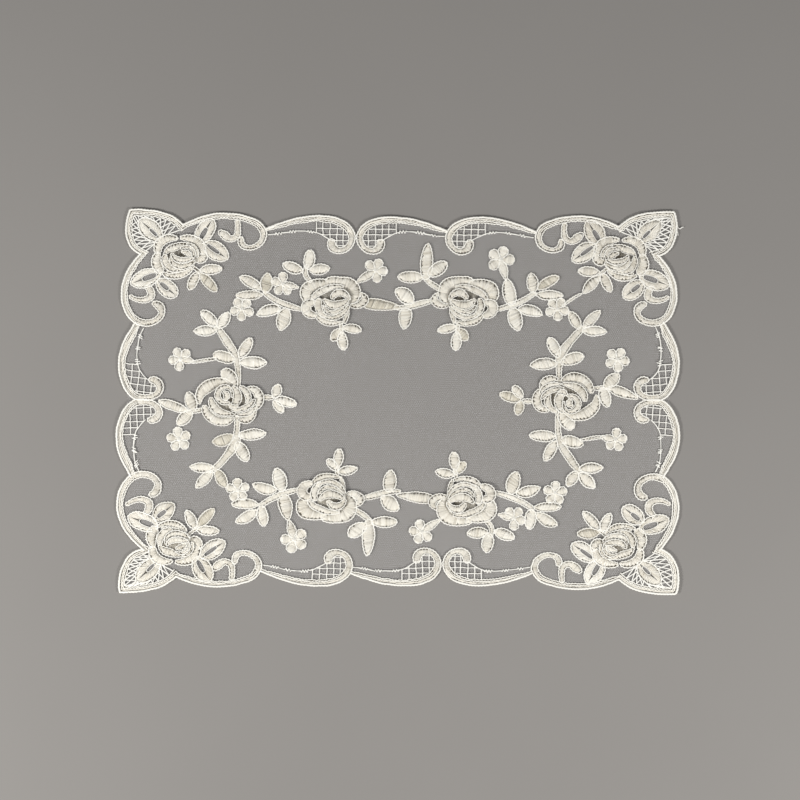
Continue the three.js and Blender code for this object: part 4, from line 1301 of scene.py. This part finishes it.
def petal_lines(lobe):
    tip = next(t for t in TIPS if t["name"] == lobe["name"])
    tp = np.array([tip["x"], tip["y"]])
    def side(e, out):
        d = e - tp
        l = np.hypot(*d)
        kind = "long" if abs(d[0]) > abs(d[1]) else "short"
        o = np.array([-d[1], d[0]]) / l * out
        pts = np.array([[*(tp + d * r["u"] + o * r["v"])] for r in PETAL_SIDE if r["side"] == kind])
        return smooth(pts, 60)
    one = side(np.array([lobe["ax"], lobe["ay"]]), -1)[::-1]
    two = side(np.array([lobe["bx"], lobe["by"]]), 1)
    return one, two, tip

def shifted(one, two, w):
    """The line w inside a corner petal's two sides, cut where they cross."""
    def shift(L):
        return L - normals(L) * w
    a, b = shift(one), shift(two)
    def far(P, Q):
        return np.sqrt(((P[:, None] - Q[None]) ** 2).sum(-1)).min(1)
    a, b = a[far(a, two) > w * 1.005], b[far(b, one) > w * 1.005]
    return np.vstack([a, b]), len(a)

def corner_petal(cords, fills, lobe, spray, rose):
    one, two, tip = petal_lines(lobe)
    z = WORK_Z
    i = LOBES.index(lobe)
    before, after = LOBES[i - 1], LOBES[(i + 1) % len(LOBES)]
    k1 = notch_turn(one[:30:3], band_of(before).off(side_of(before), 0)[:30:3])
    k2 = notch_turn(two[::-1][:30:3], band_of(after).off(side_of(after), 0)[:30:3])
    def line(w):
        L, _ = shifted(one, two, w)
        return L
    out, k = shifted(one, two, EDGE_CORD)
    out = drawn_out(out, EDGE_CORD * k1, EDGE_CORD * k2)
    tube(cords, out[:k + 2], EDGE_CORD, z, tone=0.72, drift=0.12, taper=(False, False), sew=-1)
    tube(cords, out[k:], EDGE_CORD, z, tone=0.72, drift=0.12, taper=(False, False), sew=-1)
    def soft(w, r, jut=0.0, share=0.5):
        L = relax(resample(line(w), 0.5), 3, False)
        L = L - normals(L) * holes(chord(L), jut, share)[:, None] if jut else L
        return drawn_out(np.column_stack([L, np.full(len(L), r)]), w * k1, w * k2)
    L = soft(3.95, BAND_CORD)
    tube(cords, L[:, :2], L[:, 2], z, tone=0.62, drift=0.10, taper=(False, False), sew=-1)
    L = soft(5.10, THIN_CORD, 0.70, 0.75)
    tube(cords, L[:, :2], L[:, 2], z, tone=0.66, drift=0.10, taper=(False, False), sew=1)
    for w, jut in ((2.32, 0.62), (3.02, -0.30)):
        L = soft(w, 0.41, jut, 0.55)
        tube(fills, L[:, :2], L[:, 2], z + 0.24, mat=SATIN, couch=False, sides=5, step=1.5, drift=0.06, tone=0.5)
    n = 90
    # padding under the band, its top painted dark as shade
    for lo, hi, zt in ((1.4, 3.95, 0.26), (3.95, 5.30, 0.40)):
        a = drawn_out(line(lo), lo * k1 * 0.9, lo * k2 * 0.9)
        b = drawn_out(line(hi), hi * k1 * 0.9, hi * k2 * 0.9)
        a, b = resample(a, chord(a)[-1] / n), resample(b, chord(b)[-1] / n)
        m = min(len(a), len(b))
        padding(fills, a[:m], b[:m], z - 0.02, z + zt)
    # zig-zag bars between the band and the eye-leaf, crossed where there is room
    row = next(r for r in LEAF_C if r["part"] == "petal_eye")
    rb = Ribbon(put(leaf_line(row), spray))
    hull = loop_of(rb, 0.5)
    covers = [hull] + [loop_of(ribbon(rows, rose), 0.4) for rows in runs(ROSE_C) if rows[0]["lift"] == 0]
    rim, kk = shifted(one, two, 5.7)
    halves = [drawn_out(rim[:kk], 5.7 * k1 * 0.6), drawn_out(rim[kk:][::-1], 5.7 * k2 * 0.6)]
    for half in halves:
        R = resample(half, 0.5)
        sides = [rb.off(1, 0.4), rb.off(-1, 0.4)]
        mid = R[len(R) // 2]
        H = min(sides, key=lambda L: np.hypot(*(L - mid).T).min())
        def on(L, x):
            d = chord(L)
            return np.array([np.interp(x * d[-1], d, L[:, 0]), np.interp(x * d[-1], d, L[:, 1])])
        q, i, size = 0.02, 0, chord(R)[-1]
        while q < 0.97:
            wide = np.hypot(*(on(R, q) - on(H, q))) > 5.4
            q2 = min(q + (4.6 if wide else 3.1) * rng.normal(1, 0.07) / size, 1.0)
            ends = [(on(R, q), on(H, q2)), (on(H, q), on(R, q2))]
            for a, b in (ends if wide else [ends[i % 2]]):
                v = np.linspace(0, 1, 40)[:, None]
                P = a * (1 - v) + b * v
                ok = np.ones(len(P), bool)
                for c in covers:
                    ok &= ~inside(P, c)
                P = P[ok]
                if len(P) < 6 or np.hypot(*(P[-1] - P[0])) < 0.9:
                    continue
                P = drawn_out(P, 0.5, 0.5)
                tube(fills, P, rng.uniform(0.42, 0.56), z + 0.10, mat=FINE, couch=False, sides=5, step=0.9, drift=0.08, tone=0.75, taper=(False, False))
            q, i = q2, i + 1

def inside(P, poly):
    """Which points of P lie in a polygon."""
    x, y = P[:, 0][:, None], P[:, 1][:, None]
    x0, y0 = poly[:, 0][None], poly[:, 1][None]
    x1, y1 = np.roll(poly[:, 0], -1)[None], np.roll(poly[:, 1], -1)[None]
    with np.errstate(divide="ignore", invalid="ignore"):
        hit = ((y0 > y) != (y1 > y)) & (x < (x1 - x0) * (y - y0) / (y1 - y0) + x0)
    return hit.sum(1) % 2 == 1

def grid_work(bag, lobe, rb):
    """The thin picot cord and the square lattice of a grid lobe."""
    rows = of_kind(PICOT, lobe)
    if not rows:
        return
    z = WORK_Z + 0.12
    cord = smooth(on_lobe(lobe, rows), 90)[:, :2]
    n = len(cord)
    N = normals(cord)
    rad = 0.46 * (1 + wander(n, 0.16, 4))
    cord = cord + N * wander(n, 0.28, 12)[:, None]
    a, b = np.array([lobe["ax"], lobe["ay"]]), np.array([lobe["bx"], lobe["by"]])
    l = np.hypot(*(b - a))
    f, c = (b, a) if lobe["turn"] < 0 else (a, b)
    ulen = (cord - f) @ (c - f) / l ** 2
    clusters = [int(np.argmin(np.abs(ulen - r["u"] + rng.normal(0, 0.008)))) for r in of_kind(KNOTS, lobe)]
    out = side_of(lobe)
    if lobe["kind"].endswith("L"):
        # on the long sides the cord itself runs to and fro in each cluster
        fine = resample(cord, 0.25)
        s = chord(fine)
        zig = np.zeros(len(s))
        for at in clusters:
            q = s - chord(cord)[at]
            size = rng.uniform(1.0, 1.4)
            zig += np.where(np.abs(q) < rng.uniform(2.4, 3.2), size * (2 / math.pi) * np.arcsin(np.sin(2 * math.pi * q / rng.uniform(2.1, 2.5))), 0)
        tube(bag, fine + normals(fine) * zig[:, None], np.interp(s, chord(cord), rad), z, mat=FINE, couch=False, sides=5, step=0.45, drift=0.04, tone=0.8)
    else:
        tube(bag, cord, rad, z, mat=FINE, couch=False, sides=5, step=0.9, drift=0.05, tone=0.8)
        for at in clusters:
            picots(bag, cord, N, at, z, -out, at == clusters[-1])
    # the field of the lattice: band, curl, picot cord and closing thread
    shut = min(r["at"] for r in LATTICE if r["kind"] == lobe["kind"] and r["way"] == "u")
    k0 = int(np.argmax(ulen > shut))
    inner = rb.C - rb.N * (out * (rb.h - 0.2))[:, None]
    u_inner = ((inner - f) @ (c - f)) / l ** 2
    first = int(np.argmax(u_inner > shut))
    field = np.vstack([inner[first:], cord[k0:][::-1]])
    for r in LATTICE:
        if r["kind"] != lobe["kind"]:
            continue
        q = np.linspace(0, 1, 160)
        jit = rng.normal(0, 0.003 if r["way"] == "u" else 0.18)
        if r["way"] == "u":
            pts = on_lobe(lobe, [dict(u=r["at"] + jit, v=-12 + 40 * x) for x in q])[:, :2]
        else:
            pts = on_lobe(lobe, [dict(u=shut + (1.0 - shut) * x, v=r["at"] + jit) for x in q])[:, :2]
        closing = r["way"] == "u" and r["at"] == shut
        test = pts if not closing else on_lobe(lobe, [dict(u=r["at"] + 0.012, v=-12 + 40 * x) for x in q])[:, :2]
        ok = inside(test, field)
        edges = np.diff(np.concatenate([[0], ok.astype(int), [0]]))
        for i0, i1 in zip(np.nonzero(edges == 1)[0], np.nonzero(edges == -1)[0]):
            if i1 - i0 < 4:
                continue
            i0, i1 = max(0, i0 - 2), min(len(pts), i1 + 2)
            line = pts[i0:i1]
            wob = normals(line) * wander(len(line), 0.14, 8)[:, None]
            tube(bag, line + wob, 0.40 if not closing else 0.44, z, mat=FINE, couch=False, sides=5, step=1.0, drift=0.08, tone=0.72, taper=(False, False))
    # knots where threads cross
    for ru in [r for r in LATTICE if r["kind"] == lobe["kind"] and r["way"] == "u"]:
        for rv in [r for r in LATTICE if r["kind"] == lobe["kind"] and r["way"] == "v"]:
            p = on_lobe(lobe, [dict(u=ru["at"], v=rv["at"])])[:, :2]
            if inside(p, field)[0]:
                knot(bag, p[0][0], p[0][1], rng.uniform(0.52, 0.68), z - 0.05, 0.8)

# ---- materials --------------------------------------------------------------
def node(nt, kind, **values):
    n = nt.nodes.new(kind)
    for k, v in values.items():
        setattr(n, k, v)
    return n

def math_node(nt, op, a, b=None, c=None):
    n = node(nt, "ShaderNodeMath", operation=op)
    for i, x in enumerate((a, b, c)):
        if x is None:
            continue
        if isinstance(x, (int, float)):
            n.inputs[i].default_value = x
        else:
            nt.links.new(x, n.inputs[i])
    return n.outputs[0]

def ramp(nt, fac, stops):
    n = node(nt, "ShaderNodeValToRGB")
    while len(n.color_ramp.elements) < len(stops):
        n.color_ramp.elements.new(0.5)
    for e, (p, c) in zip(n.color_ramp.elements, stops):
        e.position = p
        e.color = (*c, 1)
    nt.links.new(fac, n.inputs["Fac"])
    return n.outputs["Color"]

def thread_material(name, dark, mid, light, rough, sheen, twist, streak, grey, bump):
    m = bpy.data.materials.new(name)
    m.use_nodes = True
    nt = m.node_tree
    b = nt.nodes["Principled BSDF"]
    b.inputs["Roughness"].default_value = rough
    b.inputs["Sheen Weight"].default_value = sheen
    b.inputs["Sheen Roughness"].default_value = 0.45
    b.inputs["Specular IOR Level"].default_value = 0.35
    uv = node(nt, "ShaderNodeUVMap", uv_map="ply")
    sep = node(nt, "ShaderNodeSeparateXYZ")
    nt.links.new(uv.outputs[0], sep.inputs[0])
    along, round_ = sep.outputs[0], sep.outputs[1]
    tone = node(nt, "ShaderNodeAttribute", attribute_name="tone").outputs["Fac"]
    dense = node(nt, "ShaderNodeAttribute", attribute_name="dense").outputs["Fac"]
    geo = node(nt, "ShaderNodeTexCoord")
    # slow change of colour over the mat, and fine fibre grain
    slow = node(nt, "ShaderNodeTexNoise")
    slow.inputs["Scale"].default_value = 22
    slow.inputs["Detail"].default_value = 3
    nt.links.new(geo.outputs["Object"], slow.inputs["Vector"])
    grain = node(nt, "ShaderNodeTexNoise")
    grain.inputs["Scale"].default_value = 1500
    grain.inputs["Detail"].default_value = 2
    nt.links.new(geo.outputs["Object"], grain.inputs["Vector"])
    val = math_node(nt, "MULTIPLY_ADD", slow.outputs["Fac"], 0.35, tone)
    val = math_node(nt, "MULTIPLY_ADD", grain.outputs["Fac"], 0.22, val)
    val = math_node(nt, "SUBTRACT", val, 0.285)
    height = None
    if twist:
        # two plies twisted together: slanting grooves round the cord
        turn = math_node(nt, "MULTIPLY_ADD", along, twist, math_node(nt, "MULTIPLY", round_, 2.0))
        wave = math_node(nt, "SINE", math_node(nt, "MULTIPLY", turn, 2 * math.pi))
        height = math_node(nt, "MULTIPLY_ADD", wave, 0.5, 0.5)
        # the grooves are also painted darker and the ridges lighter: painted shade
        val = math_node(nt, "MULTIPLY_ADD", wave, 0.045, val)
        # the couching stitch pulls the cord in once a unit, and painted shade darkens it there
        pinch = math_node(nt, "ABSOLUTE", math_node(nt, "SUBTRACT", math_node(nt, "FRACT", math_node(nt, "ADD", along, 0.5)), 0.5))
        pinch = math_node(nt, "SMOOTH_MIN", math_node(nt, "MULTIPLY", pinch, 6.0), 1.0, 0.3)
        val = math_node(nt, "MULTIPLY_ADD", math_node(nt, "SUBTRACT", pinch, 1.0), 0.16, val)
    if streak:
        # loose fibres along each stitch
        st = node(nt, "ShaderNodeCombineXYZ")
        nt.links.new(math_node(nt, "MULTIPLY", along, 0.45), st.inputs[0])
        nt.links.new(math_node(nt, "MULTIPLY", round_, 9.0), st.inputs[1])
        nt.links.new(math_node(nt, "MULTIPLY", tone, 60.0), st.inputs[2])
        fib = node(nt, "ShaderNodeTexNoise")
        fib.inputs["Scale"].default_value = 1.0
        fib.inputs["Detail"].default_value = 3
        nt.links.new(st.outputs[0], fib.inputs["Vector"])
        height = fib.outputs["Fac"]
        val = math_node(nt, "MULTIPLY_ADD", math_node(nt, "SUBTRACT", fib.outputs["Fac"], 0.5), 0.30, val)
    col = ramp(nt, val, ((0.05, dark), (0.45, mid), (0.95, light)))
    mix = node(nt, "ShaderNodeMix", data_type="RGBA", blend_type="MULTIPLY")
    thin = math_node(nt, "MULTIPLY", math_node(nt, "SUBTRACT", 0.5, dense), 1.6)
    clampn = node(nt, "ShaderNodeClamp")
    nt.links.new(thin, clampn.inputs[0])
    nt.links.new(clampn.outputs[0], mix.inputs[0])
    nt.links.new(col, mix.inputs[6])
    mix.inputs[7].default_value = (*grey, 1)
    nt.links.new(mix.outputs[2], b.inputs["Base Color"])
    bp = node(nt, "ShaderNodeBump")
    bp.inputs["Strength"].default_value = bump
    bp.inputs["Distance"].default_value = 0.00012
    total = grain.outputs["Fac"] if height is None else math_node(nt, "MULTIPLY_ADD", grain.outputs["Fac"], 0.4, height)
    nt.links.new(total, bp.inputs["Height"])
    nt.links.new(bp.outputs[0], b.inputs["Normal"])
    return m

def net_material():
    """Six-sided mesh of fine thread: opaque on the threads, open between them."""
    m = bpy.data.materials.new("tulle_net")
    m.use_nodes = True
    nt = m.node_tree
    b = nt.nodes["Principled BSDF"]
    b.inputs["Roughness"].default_value = 0.75
    b.inputs["Sheen Weight"].default_value = 0.3
    co = node(nt, "ShaderNodeTexCoord")
    warp = node(nt, "ShaderNodeTexNoise")
    warp.inputs["Scale"].default_value = 60
    nt.links.new(co.outputs["Object"], warp.inputs["Vector"])
    off = node(nt, "ShaderNodeVectorMath", operation="SCALE")
    nt.links.new(warp.outputs["Color"], off.inputs[0])
    off.inputs["Scale"].default_value = 0.004
    add = node(nt, "ShaderNodeVectorMath", operation="ADD")
    nt.links.new(co.outputs["Object"], add.inputs[0])
    nt.links.new(off.outputs[0], add.inputs[1])
    # cells 1.5 mm across, a little longer along the warp
    scale = node(nt, "ShaderNodeVectorMath", operation="MULTIPLY")
    nt.links.new(add.outputs[0], scale.inputs[0])
    scale.inputs[1].default_value = (1 / 0.00150, 1 / 0.00165, 0.0)
    size = (1.0, 1.7320508, 1.0)
    def cell(shift):
        a = node(nt, "ShaderNodeVectorMath", operation="ADD")
        nt.links.new(scale.outputs[0], a.inputs[0])
        a.inputs[1].default_value = (1000.0 + shift * 0.5, 1000.0 * 1.7320508 + shift * 0.8660254, 0)
        w = node(nt, "ShaderNodeVectorMath", operation="MODULO")
        nt.links.new(a.outputs[0], w.inputs[0])
        w.inputs[1].default_value = size
        s = node(nt, "ShaderNodeVectorMath", operation="SUBTRACT")
        nt.links.new(w.outputs[0], s.inputs[0])
        s.inputs[1].default_value = (0.5, 0.8660254, 0)
        q = node(nt, "ShaderNodeVectorMath", operation="ABSOLUTE")
        nt.links.new(s.outputs[0], q.inputs[0])
        x = node(nt, "ShaderNodeSeparateXYZ")
        nt.links.new(q.outputs[0], x.inputs[0])
        slope = math_node(nt, "MULTIPLY_ADD", x.outputs[0], 0.5, math_node(nt, "MULTIPLY", x.outputs[1], 0.8660254))
        return math_node(nt, "MAXIMUM", x.outputs[0], slope)
    # the nearer of the two cell centres gives the distance to the thread
    near = math_node(nt, "MINIMUM", cell(0.0), cell(1.0))
    edge = math_node(nt, "SUBTRACT", 0.5, near)
    thick = node(nt, "ShaderNodeTexNoise")
    thick.inputs["Scale"].default_value = 900
    nt.links.new(co.outputs["Object"], thick.inputs["Vector"])
    limit = math_node(nt, "MULTIPLY_ADD", thick.outputs["Fac"], 0.012, 0.0105)
    alpha = math_node(nt, "LESS_THAN", edge, limit)
    nt.links.new(alpha, b.inputs["Alpha"])
    tint = ramp(nt, thick.outputs["Fac"], ((0.3, (0.60, 0.60, 0.60)), (0.7, (0.73, 0.735, 0.745))))
    nt.links.new(tint, b.inputs["Base Color"])
    return m

def floor_material():
    m = bpy.data.materials.new("pale_floor")
    m.use_nodes = True
    nt = m.node_tree
    b = nt.nodes["Principled BSDF"]
    b.inputs["Roughness"].default_value = 0.85
    b.inputs["Specular IOR Level"].default_value = 0.15
    co = node(nt, "ShaderNodeTexCoord")
    n1 = node(nt, "ShaderNodeTexNoise")
    n1.inputs["Scale"].default_value = 3.0
    n1.inputs["Detail"].default_value = 4
    nt.links.new(co.outputs["Object"], n1.inputs["Vector"])
    col = ramp(nt, n1.outputs["Fac"], ((0.3, (0.230, 0.2185, 0.2055)), (0.7, (0.241, 0.229, 0.2155))))
    nt.links.new(col, b.inputs["Base Color"])
    return m

mats = [
    thread_material("cord_thread", (0.64, 0.60, 0.515), (0.80, 0.773, 0.70), (0.865, 0.845, 0.785), 0.62, 0.12, 1.0, False, (0.94, 0.935, 0.90), 0.55),
    # the satin thread is warmer than the cord, and its darker tone is painted shade of the filling that lies lower than
    # the cords
    thread_material("satin_thread", (0.58, 0.538, 0.45), (0.768, 0.727, 0.637), (0.845, 0.815, 0.74), 0.50, 0.14, 0.0, True, (0.92, 0.912, 0.86), 0.45),
    # the padding's dark colours are painted shade, for the needle holes and the gaps in a rose
    thread_material("padding_painted_shade", (0.14, 0.122, 0.094), (0.48, 0.44, 0.36), (0.75, 0.705, 0.605), 0.9, 0.0, 0.0, False, (0.9, 0.9, 0.85), 0.6),
    thread_material("fine_thread", (0.64, 0.61, 0.535), (0.81, 0.785, 0.72), (0.87, 0.855, 0.80), 0.60, 0.12, 0.0, True, (0.95, 0.95, 0.92), 0.4),
]

def finish_piece(bag, name, stands_for):
    ob = bag.build(mats)
    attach(ob, "root")
    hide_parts(stands_for)
    print("piece", name, "triangles", bag.triangles())
    return ob

edge_cords, edge_fills = Bag("scalloped_border_cords"), Bag("scalloped_border_fill")
grids = Bag("scalloped_border_lattice")
for lobe in LOBES:
    if lobe["kind"] == "petal":
        here = {p["motif"]: p for p in PLACES if p["motif"] in ("rose_c", "leaf_c")
                and (p["x"] < 0) == (lobe["ax"] < 0) and (p["y"] < 0) == (lobe["ay"] < 0)}
        corner_petal(edge_cords, edge_fills, lobe, here["leaf_c"], here["rose_c"])
        continue
    rb = band(edge_cords, edge_fills, lobe)
    scroll(edge_cords, edge_fills, lobe)
    grid_work(grids, lobe, rb)
# two loose ends of thread at the upper right corner
for line in (((219.0, 147.6), (221.6, 142.5), (222.9, 137.6), (224.3, 136.9), (226.0, 138.2), (227.4, 138.3)),
             ((218.6, 146.6), (219.8, 141.0), (222.2, 134.6), (222.6, 131.4))):
    tube(edge_cords, smooth(np.array([(*p, 1.0) for p in line]), 24)[:, :2], 0.40, WORK_Z, mat=FINE, couch=False,
         sides=5, step=0.8, drift=0.06, tone=0.75)
finish_piece(edge_cords, "scalloped_border_cords", "scalloped_border")
finish_piece(edge_fills, "scalloped_border_fill", "scalloped_border")
finish_piece(grids, "scalloped_border_lattice", "scalloped_border")

for places in runs(PLACES, "node"):
    name = places[0]["node"]
    bag = Bag(name + "_work")
    for place in places:
        motif = MOTIFS[place["motif"]]
        centre = np.array([place["x"], place["y"]])
        for rows in runs(motif.get("ground", [])):
            heart(bag, rows, place)
        for rows in runs(motif.get("stems", [])):
            stem(bag, rows, place)
        for r in motif.get("leaves", []):
            leaf(bag, r, place)
        for r in motif.get("flowers", []):
            bloom(bag, r, place)
        for rows in sorted(runs(motif.get("rose", [])), key=lambda rr: rr[0]["lift"]):
            fold(bag, rows, place, centre)
    finish_piece(bag, name, name)

# ---- the net ----------------------------------------------------------------
def mat_outline(inset):
    out = []
    for lobe in LOBES:
        if lobe["kind"] == "petal":
            one, two, _ = petal_lines(lobe)
            line, _ = shifted(one[::4], two[::4], inset)
            out.append(line)
            continue
        rb = band_of(lobe)
        side = 1 if lobe["turn"] > 0 else -1
        E = rb.C + rb.N * (side * (rb.h - inset))[:, None]
        a, b = np.array([lobe["ax"], lobe["ay"]]), np.array([lobe["bx"], lobe["by"]])
        l = np.hypot(*(b - a))
        u = ((E - a) @ (b - a)) / l ** 2
        v = (E - a) @ np.array([b[1] - a[1], -(b[0] - a[0])]) / l
        keep = (v < -0.2) & (u > 0.03) & (u < 0.97)
        E, u = E[keep], u[keep]
        E = E[np.argsort(u)][::4]
        n = np.array([b[1] - a[1], -(b[0] - a[0])]) / l
        out.append(np.vstack([[a + n * inset * 1.2], E]))
    return np.vstack(out)

outline = mat_outline(1.2)
gx, gy = np.meshgrid(np.arange(-222, 222, 6.0), np.arange(-152, 152, 6.0))
inner_pts = np.stack([gx.ravel() + 3.0 * (np.indices(gx.shape)[0].ravel() % 2), gy.ravel()], 1)
near = np.sqrt(((inner_pts[:, None] - outline[None]) ** 2).sum(-1)).min(1)
inner_pts = inner_pts[inside(inner_pts, outline) & (near > 2.5)]
pts = np.vstack([outline, inner_pts])
rim = [(i, (i + 1) % len(outline)) for i in range(len(outline))]
verts, _, faces, *_ = delaunay_2d_cdt([Vector(p) for p in pts], rim, [], 1, 1e-4)
V = np.array([[v.x - MID[0], v.y - MID[1], 0] for v in verts])
V[:, 2] = NET_Z + lay(V[:, 0], V[:, 1]) + 0.10 * np.sin(0.21 * V[:, 0] + 0.13 * V[:, 1]) * np.sin(0.17 * V[:, 1] - 0.05 * V[:, 0])
me = bpy.data.meshes.new("net_ground_tulle")
me.from_pydata((V * 0.001).tolist(), [], [list(f) for f in faces])
me.polygons.foreach_set("use_smooth", np.ones(len(me.polygons), bool))
me.materials.append(net_material())
me.update()
net = bpy.data.objects.new("net_ground_tulle", me)
bpy.context.scene.collection.objects.link(net)
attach(net, "root")
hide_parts("net_ground")

# ---- floor, light, camera ---------------------------------------------------
fm = bpy.data.meshes.new("floor")
fm.from_pydata([(-6, -6, 0), (6, -6, 0), (6, 6, 0), (-6, 6, 0)], [], [(0, 1, 2, 3)])
fm.materials.append(floor_material())
floor = bpy.data.objects.new("floor", fm)
bpy.context.scene.collection.objects.link(floor)

def lamp(name, at, look, size, power, colour):
    d = bpy.data.lights.new(name, "AREA")
    d.shape, d.size, d.energy, d.color = "DISK", size, power, colour
    o = bpy.data.objects.new(name, d)
    o.location = at
    o.rotation_euler = (Vector(look) - Vector(at)).to_track_quat("-Z", "Y").to_euler()
    bpy.context.scene.collection.objects.link(o)
    return o

lamp("left", (-1.15, -0.50, 0.80), (0, 0, 0), 0.32, 18.6, (1.0, 0.995, 0.985))
lamp("right", (0.95, -0.60, 0.75), (0, 0, 0), 0.30, 11.0, (1.0, 0.995, 0.985))

world = bpy.data.worlds.new("studio")
bpy.context.scene.world = world
world.use_nodes = True
world.node_tree.nodes["Background"].inputs[0].default_value = (0.985, 0.99, 1.0, 1)
world.node_tree.nodes["Background"].inputs[1].default_value = 0.42

cam_data = bpy.data.cameras.new("camera")
cam_data.lens, cam_data.sensor_width = 85, 36
cam_data.clip_start, cam_data.clip_end = 0.01, 20
camera = bpy.data.objects.new("camera", cam_data)
camera.location = (0.00171, 0.0013, 0.640 * 85 / 36)
camera.rotation_euler = (0, 0, 0)
bpy.context.scene.collection.objects.link(camera)
bpy.context.scene.camera = camera

bpy.context.scene.view_settings.view_transform = "Standard"
bpy.context.view_layer.update()
